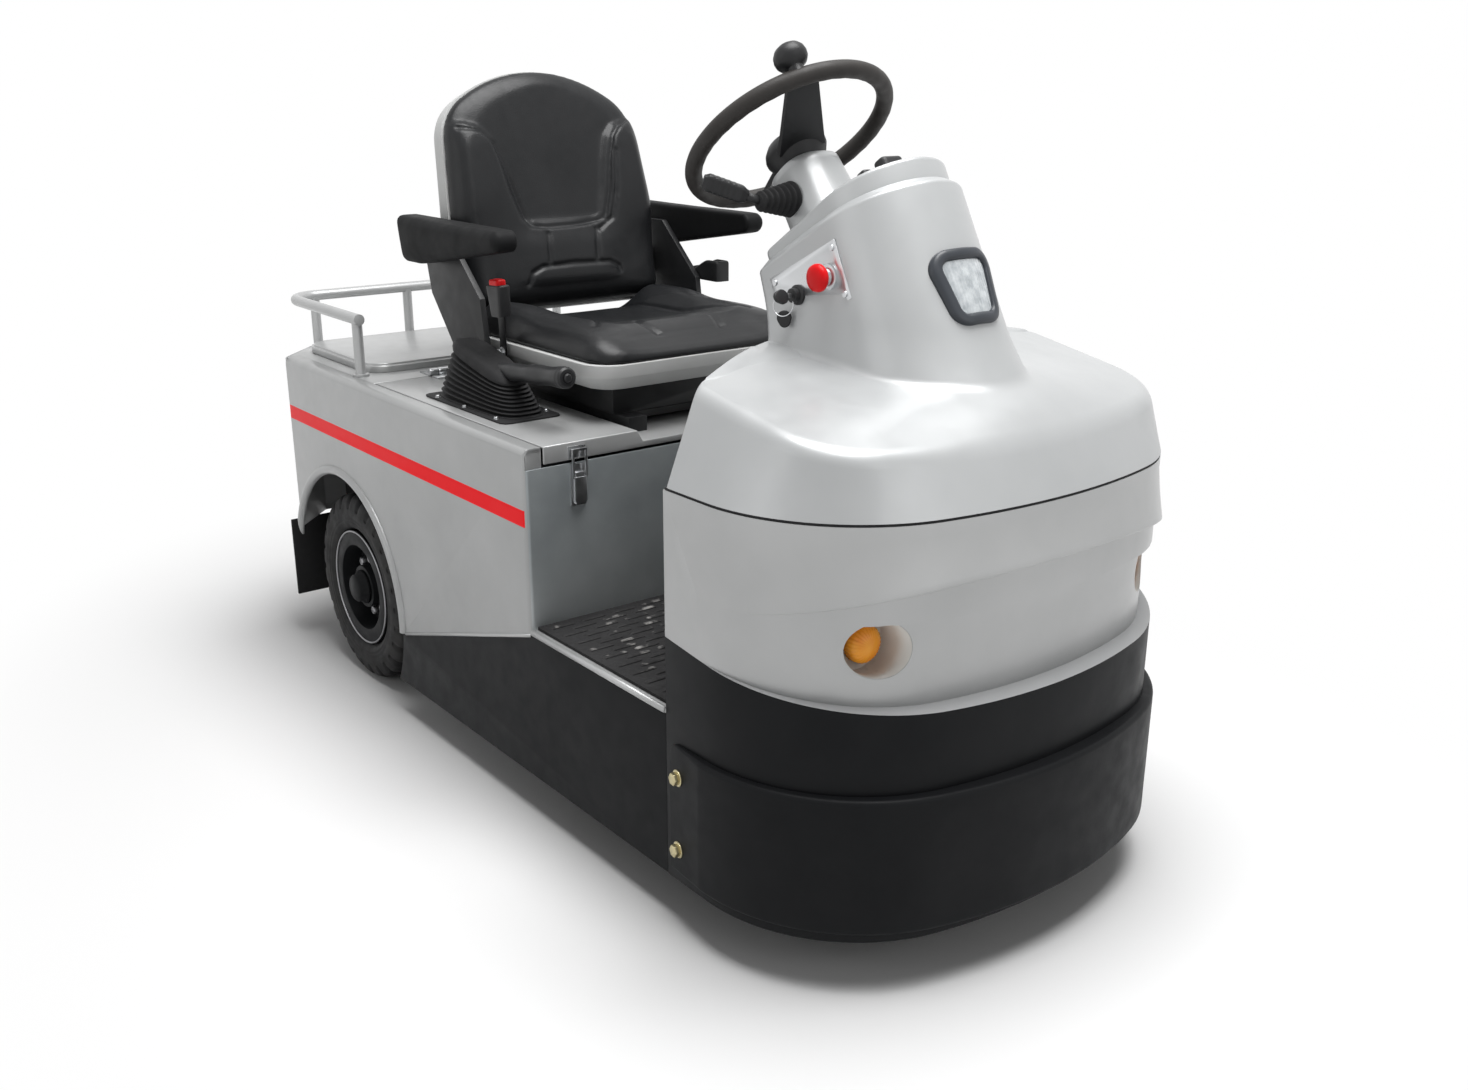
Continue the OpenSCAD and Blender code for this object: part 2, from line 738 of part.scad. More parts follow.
// Wedge-shaped cap on the tower's top, with the gauge let into it
module dash_cap() color("#c8cacb") {
    difference() {
        in_tower() translate([0, 0, -cap_h]) linear_extrude(110) tower_plan(cap_ledge + 1);
        in_tower() translate([0, 0, -cap_h - 2]) rotate([0, -top_rise, 0])
            translate([-100, -300, cap_ledge + 0.5 - 200]) cube([700, 600, 200]);
        in_cap() translate([-100, -300, 0]) cube([700, 600, 300]);
        in_cap() translate([tower_side + 28, 0, -8]) cylinder(r = 36, h = 40);
    }
    in_cap() translate([tower_side + 28, 0, -8 - eps]) difference() {
        cylinder(r = 36 + eps, h = 12);
        translate([0, 0, 8]) cylinder(r1 = 30, r2 = 33, h = 5);
    }
}

// Stainless plate on the right side of the tower
module control_plate() color("#d8dadc") {
    in_tower() translate([30 + plate_l / 2, -tower_r, -plate_drop]) {
        translate([-plate_l / 2, -2.5, -plate_w / 2]) cube([plate_l, 2.5, plate_w]);
        for (u = [-1, 1], w = [-1, 1]) translate([u * (plate_l / 2 - 10), -2.5 + eps, w * (plate_w / 2 - 10)])
            rotate([90, 0, 0]) cylinder(r = 5, h = 3);
    }
}

module stop_button() color("#c4141a") {
    in_tower() translate([160, -tower_r - 2.5, -plate_drop]) rotate([90, 0, 0]) {
        cylinder(r = 17, h = 16);
        translate([0, 0, 15]) cylinder(r1 = 15, r2 = 20, h = 8);
        translate([0, 0, 23 - eps]) cylinder(r1 = 20, r2 = 17, h = 8);
    }
}

module key_switch() color("#3a3c3e") {
    in_tower() translate([84, -tower_r - 2.5, -plate_drop]) rotate([90, 0, 0]) {
        cylinder(r = 15, h = 6);
        translate([0, 0, 6 - eps]) cylinder(r = 10, h = 8);
        translate([-1.5, -8, 13]) cube([3, 16, 34]);
    }
}

// Outline of the head lamp: four round corners, closer together at the bottom
module lamp_outline(inset) {
    hull() for (s = [-1, 1], t = [0, 1])
        translate([s * (lamp_w / 2 - lamp_corner - t * lamp_taper), (0.5 - t) * (lamp_h - 2 * lamp_corner)])
            circle(lamp_corner - inset, $fn = 32);
}

// A layer of the lamp: its outline carried through a shell that is concentric with the tower's round front
module lamp_layer(inset, low, high) {
    in_tower() translate([tower_side, 0, -lamp_drop]) difference() {
        intersection() {
            rotate([90, 0, 90]) linear_extrude(2 * tower_r) lamp_outline(inset);
            translate([0, 0, -lamp_h]) cylinder(r = tower_r + high, h = 2 * lamp_h);
        }
        translate([0, 0, -lamp_h - 1]) cylinder(r = tower_r + low, h = 2 * lamp_h + 2);
    }
}

// Work lamp wrapped round the front of the tower: bezel and lens
module head_lamp() color("#303234") {
    difference() {
        lamp_layer(0, 0.3, lamp_proud);
        lamp_layer(lamp_bezel, 0.1, lamp_proud + 20);
    }
}

module head_lamp_lens() color("#e8f0f4") {
    lamp_layer(lamp_bezel + 0.3, 0.3, lamp_proud - 5);
}

// Column cover between the dash cap and the steering wheel, with the socket of the shift lever
module steering_column() color("silver") {
    difference() {
        in_column() {
            translate([0, 0, -260]) cylinder(d = column_d, h = 260 - 62);
            translate([0, 0, -116]) rotate([90, 0, 0]) cylinder(r = 25, h = column_d / 2 + 8);
        }
        in_column() translate([0, 0, -270]) cylinder(r = 12 + run_fit, h = 280);
        in_cap() translate([-300, -300, -400]) cube([900, 600, 400]);
    }
}

// Shift lever with a ribbed rubber boot
module shift_lever() color("#1c1d1e") {
    in_column() translate([0, -column_d / 2 - 8, -116]) rotate([90, 0, 0]) {
        for (i = [0 : 5]) translate([0, 0, i * 10]) {
            cylinder(r1 = 23 - 2.3 * i, r2 = 19 - 2.3 * i, h = 6);
            translate([0, 0, 6 - eps]) cylinder(r1 = 19 - 2.3 * i, r2 = 20.7 - 2.3 * i, h = 4 + 2 * eps);
        }
        translate([0, 0, 59]) rotate([0, -24, 0]) {
            translate([0, 0, -5]) cylinder(r = 6, h = 60);
            translate([-11, -7, 42]) cube([22, 14, 48]);
        }
    }
}

// Accelerator and brake pedals on the nose bulkhead
module pedals() color("#242628") {
    for (y = [-190, 60]) translate([x_nose, y, step_z]) {
        translate([-40, -8, 96]) cube([40, 16, 16]);
        translate([-44, -38, 50]) rotate([0, 20, 0]) cube([12, 76, 90]);
    }
}

// Fixed hinge leaves and their pins on the rear deck
module lid_hinges() color("#c9ccd0") {
    for (s = [-1, 1]) translate([hinge_x, s * hinge_y, hinge_z]) {
        for (t = [-1, 1]) translate([0, t * 24, 0]) {
            rotate([90, 0, 0]) cylinder(r = 7, h = 18, center = true);
            translate([-44, -9, -8]) cube([44, 18, 3]);
        }
        translate([-44, -33, -8]) cube([30, 66, 3]);
        rotate([90, 0, 0]) cylinder(r = 3, h = 60, center = true);
    }
}

// Over-centre latch on the seat box front
module lid_latch() color("#d5d8da") {
    translate([x_box, latch_y, deck_z]) {
        translate([0, -15, -112]) cube([3, 30, 74]);
        translate([3 - eps, -9, -108]) cube([7, 18, 56]);
        translate([9, -12, -104]) cube([3, 24, 44]);
        for (s = [-1, 1]) translate([7.5, s * 13 - 2, -62]) cube([4, 4, 50]);
        translate([7.5, -15, -14]) cube([4, 30, 4]);
    }
}

// Opening lid of the battery box: raised sides, a lower middle for the seat and a front flange
module seat_lid() color("silver") {
    a = recess_y - 6;
    b = recess_y + 6;
    top = [[-y_lid, deck_z], [-b, deck_z], [-a, deck_z - lid_low], [a, deck_z - lid_low], [b, deck_z],
        [y_lid, deck_z]];
    wider = [0, -2, -2, 2, 2, 0];
    low = [for (i = [5 : -1 : 0]) [top[i][0] + wider[i], top[i][1] - sheet]];
    translate([x_lid, 0, 0]) rotate([90, 0, 90]) linear_extrude(x_box - x_lid) polygon(concat(top, low));
    translate([x_box - sheet, 0, 0]) rotate([90, 0, 90]) linear_extrude(sheet)
        polygon(concat(top, [[y_lid, deck_z - 31], [-y_lid, deck_z - 31]]));
}

// Lid-side hinge leaves and the latch strike
module lid_fittings() color("#c9ccd0") {
    for (s = [-1, 1]) translate([hinge_x, s * hinge_y, hinge_z]) {
        difference() {
            union() {
                rotate([90, 0, 0]) cylinder(r = 7, h = 28, center = true);
                translate([0, -14, -8]) cube([40, 28, 3]);
            }
            rotate([90, 0, 0]) cylinder(r = 3 + run_fit, h = 40, center = true);
        }
        translate([12, -33, -8]) cube([28, 66, 3]);
    }
    translate([x_box, latch_y - 18, deck_z - 27]) cube([2, 36, 20]);
}

// Slides and black seat base on the lid
module seat_slides() color("#17181a") {
    z0 = deck_z - lid_low;
    slide = 40;
    y0 = base_y - 6 - slide;
    for (s = [-1, 1]) translate([seat_x0 + 50, s > 0 ? y0 : -y0 - slide, z0]) cube([seat_l - 60, slide, 28]);
    for (x = [seat_x0 + 90, seat_x1 - 110]) translate([x, -y0 - eps, z0 + 8]) cube([40, 2 * (y0 + eps), 14]);
    translate([seat_x0 + 40, -base_y, z0 + 28 - eps]) cube([seat_l - 90, 2 * base_y, base_z - z0 - 28 + eps]);
}

// Grey moulded seat pan
module seat_pan() color("#8f9396") {
    hull() {
        translate([0, 0, base_z]) linear_extrude(1, $fn = 32)
            round_rect(seat_x0 + 14, seat_x1 - 40, seat_w / 2 - 34, 50);
        translate([0, 0, pan_z - 24]) linear_extrude(24, $fn = 32) round_rect(seat_x0, seat_x1, seat_w / 2, 60);
    }
}

// Seat cushion, thin at the back and full at the front edge
module seat_cushion() color("#1e1f21") {
    hull() {
        translate([0, 0, pan_z]) linear_extrude(10, $fn = 32)
            round_rect(seat_x0 + 8, seat_x1 - 4, seat_w / 2 - 6, 58);
        translate([seat_x1, 0, pan_z + cushion_h - 26]) rotate([0, -cushion_tilt, 0])
            translate([-seat_x1, 0, 0]) linear_extrude(4, $fn = 32)
                round_rect(seat_x0 + 130, seat_x1 + 4, seat_w / 2 - 4, 58);
        translate([seat_x1, 0, pan_z + cushion_h - 8]) rotate([0, -cushion_tilt, 0])
            translate([-seat_x1, 0, 0]) linear_extrude(8, $fn = 32)
                round_rect(seat_x0 + 130, seat_x1 - 30, seat_w / 2 - 36, 46);
    }
}

// Steel hoop that carries the backrest and the armrests
module seat_frame() color("#161718") {
    for (s = [-1, 1]) {
        translate([seat_x0 + 20, s > 0 ? base_y : -frame_y1, base_z - 8]) cube([110, frame_y1 - base_y, 8]);
        upright(s > 0 ? frame_y0 : -frame_y1, frame_y1 - frame_y0)
            polygon([[seat_x0 + 20, base_z - 8], [seat_x0 + 130, base_z - 8], [seat_x0 + 110, base_z + 130],
                [back_x - 60, back_z + 150], [back_x - 170, back_z + 150], [seat_x0 - 90, base_z + 120]]);
    }
    in_back() translate([-back_t - 34, -frame_y1, 60]) cube([12, 2 * frame_y1, 60]);
}

module back_outline(d) {
    hull() {
        for (s = [-1, 1]) {
            translate([44, s * (back_w / 2 - 51 - d)]) circle(40, $fn = 32);
            translate([0.4 * back_h, s * (back_w / 2 - 60 - d)]) circle(60, $fn = 32);
            translate([back_h - 110 - d, s * (back_w / 2 - 147 - d)]) circle(110, $fn = 32);
        }
    }
}

// Grey moulded shell that wraps the rear of the backrest
module seat_back_shell() color("#8f9396") {
    in_back() translate([-back_t - 22, 0, 0]) rotate([0, -90, 180]) linear_extrude(22 + back_wrap)
        back_outline(0);
}

module seat_back_cushion() color("#1e1f21") {
    in_back() hull() {
        translate([-back_t + back_wrap, 0, 0]) rotate([0, -90, 180]) linear_extrude(back_t - back_wrap - 24)
            back_outline(2);
        translate([-8, 0, 30]) rotate([0, -90, 180]) linear_extrude(8) scale(0.86) back_outline(0);
    }
}

// Folding armrests on the outside of the seat hoop: wedges, deep at the rear
module armrests() color("#1b1c1d") {
    for (s = [-1, 1]) upright(s > 0 ? frame_y1 : -frame_y1 - arm_w, arm_w)
        translate([back_x, back_z]) {
            polygon([[-170, 93], [-100, 93], [arm_l - 40, 139], [arm_l - 23, 139], [arm_l - 23, 185],
                [-190, 185]]);
            translate([arm_l - 23, 162]) circle(23);
        }
}

// Belt buckle on a stalk at the right side of the pan, and the retractor on the left of the hoop
module seat_belt() color("#141516") {
    side = -seat_w / 2;
    upright(side - 4, 4) polygon([[back_x + 120, pan_z - 22], [back_x + 146, pan_z - 22],
        [back_x + 194, back_z + 30], [back_x + 170, back_z + 30]]);
    translate([back_x + 164, side - 25, back_z + 22]) cube([36, 22, 68]);
    translate([back_x - 15, frame_y1, back_z + 35]) cube([132, 40, 42]);
}

// Ribbed rubber boot of the parking brake lever on its base plate, drawn back towards its top
module brake_boot() color("#1a1b1c") {
    x0 = x_box - 489;
    rings = 9;
    pitch = 10.5;
    translate([x0, lever_y - 62, deck_z]) cube([315, 124, 3]);
    difference() {
        for (i = [0 : rings - 1]) translate([0, lever_y, deck_z + 3 + i * pitch - eps]) {
            linear_extrude(6 + eps) round_rect(x0 + 6 + 4.3 * i, x0 + 303 - 17.5 * i, 50 - 3.6 * i, 18);
            translate([0, 0, 6 - eps]) linear_extrude(pitch - 6 + 2 * eps)
                round_rect(x0 + 11 + 4.3 * i, x0 + 297 - 17.5 * i, 45 - 3.6 * i, 15);
        }
        in_lever() translate([0, 0, -1]) cylinder(r1 = 13 + run_fit, r2 = 16.5 + run_fit, h = 262);
    }
}

// Thick tapered brake grip with an end cap
module brake_lever() color("#202122") in_lever() {
    cylinder(r1 = 13, r2 = 16.5, h = 262);
    translate([0, 0, 262 - eps]) cylinder(r = 18, h = 7);
    translate([0, 0, 269 - 2 * eps]) cylinder(r1 = 18, r2 = 14, h = 5);
}

// Hand wheel with two pressed channel spokes, hub, shaft and spinner knob
module steering_wheel() color("#18191a") {
    ring = hand_wheel_d / 2 - hand_rim / 2;
    in_column() {
        rotate_extrude() translate([ring, 0]) circle(hand_rim / 2);
        translate([0, 0, -56]) cylinder(r1 = 40, r2 = 52, h = 26);
        translate([0, 0, -30 - eps]) cylinder(r1 = 52, r2 = 34, h = 10);
        translate([0, 0, -165]) cylinder(r = 12, h = 115);
        for (a = [spoke_turn, spoke_turn + 180]) rotate([0, 0, a]) translate([30, 0, -44]) rotate([0, -17, 0])
            difference() {
                linear_extrude(12)
                    polygon([[0, -40], [ring - 30, -28], [ring - 24, 0], [ring - 30, 28], [0, 40]]);
                translate([0, 0, 4]) linear_extrude(10)
                    polygon([[34, -33], [ring - 46, -23], [ring - 46, 23], [34, 33]]);
            }
        rotate([0, 0, spoke_turn - 2]) translate([ring, 0, 0]) {
            cylinder(r = 12, h = 30);
            translate([0, 0, 34]) intersection() {
                sphere(r = 24);
                translate([0, 0, -16]) cylinder(r = 30, h = 36);
            }
        }
    }
}

// Steering fork with its kingpin and the front wheel spindle
module steer_fork() color("#34373a") {
    leg_y = front_tyre_w / 2 + turn_gap;
    crown_z = front_tyre_d + turn_gap;
    translate([x_pivot, 0, 0]) {
        for (s = [-1, 1]) translate([-42, s > 0 ? leg_y : -leg_y - 18, front_z - 42])
            cube([84, 18, crown_z - front_z + 43]);
        translate([-60, -leg_y - 18, crown_z]) cube([120, 2 * leg_y + 36, rail_z1 - turn_gap - crown_z]);
        translate([0, 0, crown_z]) cylinder(r = 30, h = rail_z1 + 118 + turn_gap - crown_z + 16);
        translate([0, 0, rail_z1 + 118 + turn_gap]) cylinder(r = 42, h = 16);
        translate([0, 0, front_z]) rotate([90, 0, 0]) cylinder(r = 12, h = 2 * leg_y + 2, center = true);
    }
}

// Wheel body for spinning round its own z: barrel with flanges, dished disc, hub and studs
module rim(bead_r, flange_r, width, bore, studs) {
    hw = width / 2;
    difference() {
        union() {
            rotate_extrude() polygon([[bead_r - 7, -hw], [flange_r, -hw], [flange_r, -hw + 6],
                [bead_r, -hw + 12], [bead_r, hw - 12], [flange_r, hw - 6], [flange_r, hw], [bead_r - 7, hw]]);
            translate([0, 0, -4]) cylinder(r = bead_r - 5, h = 10);
            translate([0, 0, -hw + 8]) cylinder(r = bead_r * 0.46, h = width - 16);
            for (i = [0 : studs - 1]) rotate([0, 0, i * 360 / studs]) translate([bead_r * 0.68, 0, 5])
                cylinder(r = 9, h = 14, $fn = 6);
        }
        translate([0, 0, -width]) cylinder(r = bore + run_fit, h = 2 * width);
    }
}

// Tyre for spinning round its own z: bulged sidewalls and a crowned tread with shoulder lugs
module tyre(d, width, bead_r, flange_r, lugs) {
    r = d / 2;
    hw = width / 2;
    a = hw - 13;
    difference() {
        rotate_extrude() polygon([[bead_r + 0.3, -a + 6.5], [bead_r + 0.3, a - 6.5], [flange_r + 1, a - 0.5],
            [flange_r + 14, hw - 3], [(flange_r + r) / 2 + 4, hw], [r - 26, hw - 3], [r - 9, hw - 10],
            [r - 2, hw - 26], [r, 0], [r - 2, -hw + 26], [r - 9, -hw + 10], [r - 26, -hw + 3],
            [(flange_r + r) / 2 + 4, -hw], [flange_r + 14, -hw + 3], [flange_r + 1, -a + 0.5]]);
        for (i = [0 : 1 : lugs - 1], s = [-1, 1]) rotate([0, 0, (i + (s > 0 ? 0 : 0.5)) * 360 / lugs])
            translate([r - 12, -6, s > 0 ? 16 : -hw - 1]) cube([30, 12, hw - 15]);
    }
}

module rear_rim(side) {
    translate([x_axle, side * wheel_y, wheel_z]) rotate([side > 0 ? -90 : 90, 0, 0])
        rim(101, rear_rim_d / 2, rear_tyre_w - 14, 20, 5);
}

module rear_tyre(side) {
    translate([x_axle, side * wheel_y, wheel_z]) rotate([side > 0 ? -90 : 90, 0, 0])
        tyre(rear_tyre_d, rear_tyre_w, 101, rear_rim_d / 2, lug_count);
}

module rear_rim_right() color("#242628") rear_rim(-1);
module rear_rim_left() color("#242628") rear_rim(1);
module rear_tyre_right() color("#17181a") rear_tyre(-1);
module rear_tyre_left() color("#17181a") rear_tyre(1);

module front_rim() color("#242628") translate([x_pivot, 0, front_z]) rotate([90, 0, 0])
    rim(76, 92, front_tyre_w - 14, 12, 5);

module front_tyre() color("#17181a") translate([x_pivot, 0, front_z]) rotate([90, 0, 0])
    tyre(front_tyre_d, front_tyre_w, 76, 92, 0);

chassis_frame();
floor_plate();
floor_mat();
side_skirts();
side_panels();
rear_panel();
seat_box_front();
rear_deck();
tray_panel();
hand_rail();
mud_flaps();
tow_hitch();
tail_lamps();
battery();
drive_axle();
nose_band();
front_bumper();
nose_shell();
indicator_lamps();
nose_bulkhead();
nose_cover();
dash_cap();
control_plate();
stop_button();
key_switch();
head_lamp();
head_lamp_lens();
steering_column();
shift_lever();
pedals();
lid_hinges();
lid_latch();
seat_lid();
lid_fittings();
seat_slides();
seat_pan();
seat_cushion();
seat_frame();
seat_back_shell();
seat_back_cushion();
armrests();
seat_belt();
brake_boot();
brake_lever();
steering_wheel();
steer_fork();
front_rim();
front_tyre();
rear_rim_right();
rear_tyre_right();
rear_rim_left();
rear_tyre_left();
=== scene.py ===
from math import cos, pi, radians, sin

import bpy
import numpy as np
from mathutils import Matrix, Vector


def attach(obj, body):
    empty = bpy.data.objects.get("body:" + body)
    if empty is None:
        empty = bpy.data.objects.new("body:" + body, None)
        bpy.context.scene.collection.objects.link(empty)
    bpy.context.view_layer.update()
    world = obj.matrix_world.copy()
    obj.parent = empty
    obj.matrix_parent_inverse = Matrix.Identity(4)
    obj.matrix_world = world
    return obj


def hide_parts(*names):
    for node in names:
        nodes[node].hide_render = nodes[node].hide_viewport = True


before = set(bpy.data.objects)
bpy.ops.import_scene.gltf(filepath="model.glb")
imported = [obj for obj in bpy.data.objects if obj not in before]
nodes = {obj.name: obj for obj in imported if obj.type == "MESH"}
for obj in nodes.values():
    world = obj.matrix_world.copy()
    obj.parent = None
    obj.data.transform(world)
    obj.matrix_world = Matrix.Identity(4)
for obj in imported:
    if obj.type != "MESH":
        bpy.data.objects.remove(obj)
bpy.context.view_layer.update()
scene = bpy.context.scene

# Studio: the viewpoint of the photograph, a pale floor that runs out to white and large soft lamps.
# The lens, place and turn of the camera come from the straight edges of the tug's body.
camera_data = bpy.data.cameras.new("photo_view")
camera_data.sensor_width = 36.0
camera_data.lens = 34.52
camera_data.clip_end = 100.0
camera = bpy.data.objects.new("photo_view", camera_data)
scene.collection.objects.link(camera)
scene.camera = camera
azimuth, elevation, roll = radians(51.825), radians(18.389), radians(0.133)
back = Vector((sin(azimuth) * cos(elevation), -cos(azimuth) * cos(elevation), sin(elevation)))
right = Vector((cos(azimuth), sin(azimuth), 0.0))
up = back.cross(right)
right, up = right * cos(roll) + up * sin(roll), up * cos(roll) - right * sin(roll)
turn = Matrix((right, up, back)).transposed().to_4x4()
camera.matrix_world = Matrix.Translation((2.191, -1.544, 1.268)) @ turn
scene.view_settings.view_transform = "Standard"


def shader_tree(name, levels):
    """A new material: its nodes, its links and its Principled shader, whose inputs named in levels are set."""
    material = bpy.data.materials.new(name)
    material.use_nodes = True
    tree = material.node_tree
    shader = tree.nodes["Principled BSDF"]
    for socket, level in levels.items():
        shader.inputs[socket].default_value = level
    return material, tree.nodes, tree.links, shader


def add(n, l, kind, *inputs, **settings):
    """A new node with its settings made; each input in turn is a value, another node's output, or None to leave it."""
    node = n.new(kind)
    for key, value in settings.items():
        setattr(node, key, value)
    for socket, value in zip(node.inputs, inputs):
        if isinstance(value, bpy.types.NodeSocket):
            l.new(value, socket)
        elif value is not None:
            socket.default_value = value
    return node


reach = 30.0
fade_start, fade_end = 0.78, 1.45
floor_mesh = bpy.data.meshes.new("studio_floor")
floor_mesh.from_pydata([(-reach, -reach, 0), (reach, -reach, 0), (reach, reach, 0), (-reach, reach, 0)], [],
                       [(0, 1, 2, 3)])
floor = bpy.data.objects.new("studio_floor", floor_mesh)
scene.collection.objects.link(floor)
floor_paint, n, l, shader = shader_tree("studio_floor", {
    "Base Color": (0.86, 0.86, 0.86, 1), "Roughness": 0.9, "Specular IOR Level": 0.1})
place = add(n, l, "ShaderNodeTexCoord")
squeeze = add(n, l, "ShaderNodeVectorMath", place.outputs["Object"], (0.72, 1.0, 0.0), operation="MULTIPLY")
away = add(n, l, "ShaderNodeVectorMath", squeeze.outputs["Vector"], operation="LENGTH")
fade = add(n, l, "ShaderNodeMapRange", away.outputs["Value"], fade_start, fade_end, interpolation_type="SMOOTHSTEP")
white = add(n, l, "ShaderNodeEmission")
blend = add(n, l, "ShaderNodeMixShader", fade.outputs["Result"], shader.outputs[0], white.outputs[0])
l.new(blend.outputs[0], n["Material Output"].inputs["Surface"])
floor_mesh.materials.append(floor_paint)

sky_level, seen_level = 0.16, 1.0
world = bpy.data.worlds.new("studio")
world.use_nodes = True
scene.world = world
n, l = world.node_tree.nodes, world.node_tree.links
sky = n["Background"]
sky.inputs["Color"].default_value = (1, 1, 1, 1)
rays = add(n, l, "ShaderNodeLightPath").outputs
mirrored = add(n, l, "ShaderNodeMath", rays["Is Glossy Ray"], rays["Is Transmission Ray"], operation="MAXIMUM")
seen = add(n, l, "ShaderNodeMath", rays["Is Camera Ray"], mirrored.outputs[0], operation="MAXIMUM")
level = add(n, l, "ShaderNodeMapRange", seen.outputs[0], 0.0, 1.0, sky_level, seen_level)
l.new(level.outputs[0], sky.inputs["Strength"])

for name, spot, aim, size, watts in (
        ("top", (0.8, 0.1, 4.3), (0.2, 0, 0.5), 2.6, 224),
        ("side", (-0.6, -4.6, 2.0), (-0.1, 0, 0.5), 2.4, 15),
        ("front", (4.6, 0.4, 2.0), (0.4, 0, 0.6), 2.2, 16)):
    lamp_data = bpy.data.lights.new(name, "AREA")
    lamp_data.shape = "SQUARE"
    lamp_data.size = size
    lamp_data.energy = watts
    lamp = bpy.data.objects.new(name, lamp_data)
    scene.collection.objects.link(lamp)
    aim_at = Vector(aim) - Vector(spot)
    lamp.matrix_world = Matrix.Translation(spot) @ aim_at.to_track_quat("-Z", "Y").to_matrix().to_4x4()

# Chassis frame, axle, fork and hitch: welded box section and forgings in matt black primer.
# The seams are ground, so the edges are only lightly rounded, and dust lies in broad patches.
soft_edges = bpy.data.node_groups.new("soft_edges", "GeometryNodeTree")
soft_edges.interface.new_socket("Geometry", in_out="INPUT", socket_type="NodeSocketGeometry")
soft_edges.interface.new_socket("Geometry", in_out="OUTPUT", socket_type="NodeSocketGeometry")
n, l = soft_edges.nodes, soft_edges.links
enter, leave = n.new("NodeGroupInput"), n.new("NodeGroupOutput")
whole = add(n, l, "GeometryNodeSetShadeSmooth", enter.outputs[0], domain="FACE")
bend = add(n, l, "GeometryNodeInputMeshEdgeAngle")
steep = add(n, l, "FunctionNodeCompare", bend.outputs["Unsigned Angle"], radians(30), operation="GREATER_THAN")
creased = add(n, l, "GeometryNodeSetShadeSmooth", whole.outputs[0], steep.outputs[0], False, domain="EDGE")
l.new(creased.outputs[0], leave.inputs[0])


def soften(piece, edge, segments=2):
    """Rounds a piece's corners by edge metres and smooths what is left below 30 degrees."""
    if edge:
        bevel = piece.modifiers.new("bevel", "BEVEL")
        bevel.width = edge
        bevel.segments = segments
        bevel.limit_method = "ANGLE"
        bevel.angle_limit = radians(32)
    smooth = piece.modifiers.new("smooth", "NODES")
    smooth.node_group = soft_edges
    return piece


def dress(material, *names, edge=0.0012, segments=2):
    """Finishes CAD nodes: triangles welded, flat faces merged, corners rounded, shallow edges smoothed."""
    for name in names:
        node = nodes[name]
        node.data.materials.clear()
        node.data.materials.append(material)
        weld = node.modifiers.new("weld", "WELD")
        weld.merge_threshold = 2e-5
        flat = node.modifiers.new("flat", "DECIMATE")
        flat.decimate_type = "DISSOLVE"
        flat.angle_limit = radians(0.4)
        soften(node, edge, segments)


def mottle(n, l, scale, detail=4.0):
    """Noise over the piece's own coordinates, 0 to 1."""
    place = add(n, l, "ShaderNodeTexCoord")
    return add(n, l, "ShaderNodeTexNoise", place.outputs["Object"], None, scale, detail).outputs["Fac"]


def spread(n, l, value, low, high, start=0.3, end=0.7):
    """Maps a value between start and end to the range low to high."""
    return add(n, l, "ShaderNodeMapRange", value, start, end, low, high).outputs["Result"]


def two_tone(n, l, fac, first, second):
    """Mixes two colours by fac; a colour is three numbers or another node's output."""
    mix = n.new("ShaderNodeMix")
    mix.data_type = "RGBA"
    for socket, colour in (("A", first), ("B", second)):
        if isinstance(colour, tuple):
            mix.inputs[socket].default_value = (*colour, 1)
        else:
            l.new(colour, mix.inputs[socket])
    l.new(fac, mix.inputs["Factor"])
    return mix.outputs["Result"]


def relief(n, l, height, strength, distance, shader):
    """Bump from a height into the shader's normal."""
    bump = n.new("ShaderNodeBump")
    bump.inputs["Strength"].default_value = strength
    bump.inputs["Distance"].default_value = distance
    l.new(height, bump.inputs["Height"])
    l.new(bump.outputs[0], shader.inputs["Normal"])


def tones(n, l, scale, dark, light):
    """Two close tones in patches."""
    return two_tone(n, l, spread(n, l, mottle(n, l, scale), 0, 1), dark, light)


def paint(n, l, shader, colour, grain, rough_low, rough_high):
    """Sets the shader's colour, and its roughness between two levels after a noise."""
    l.new(colour, shader.inputs["Base Color"])
    l.new(spread(n, l, mottle(n, l, grain), rough_low, rough_high), shader.inputs["Roughness"])


def coating(name, dark, light, rough_low, rough_high, grain, depth, metallic=0.0, coat=0.0, shine=0.5):
    """A finish: two close tones in broad patches, roughness after a finer noise, and a grain in relief."""
    material, n, l, shader = shader_tree(name, {
        "Metallic": metallic, "Specular IOR Level": shine, "Coat Weight": coat, "Coat Roughness": 0.15})
    paint(n, l, shader, tones(n, l, 6, dark, light), 30, rough_low, rough_high)
    relief(n, l, mottle(n, l, grain, 3.0), 0.25, depth, shader)
    return material


primer = coating("frame_primer", (0.016, 0.016, 0.017), (0.028, 0.028, 0.029), 0.55, 0.7, 220, 0.0004, shine=0.3)
dress(primer, "chassis_frame", "drive_axle", "steer_fork", "tow_hitch", "battery")

# Wheels: deep pressed steel rims in black paint with pneumatic industrial tyres.
# The tread is moulded with offset shoulder blocks and two zigzag grooves, and eight nuts hold each rear rim.
black = coating("black_paint", (0.0075, 0.008, 0.009), (0.012, 0.0125, 0.0135), 0.4, 0.52, 300, 0.0003, shine=0.09)
dress(black, "rear_rim_right", "rear_rim_left", "front_rim", edge=0.0015)


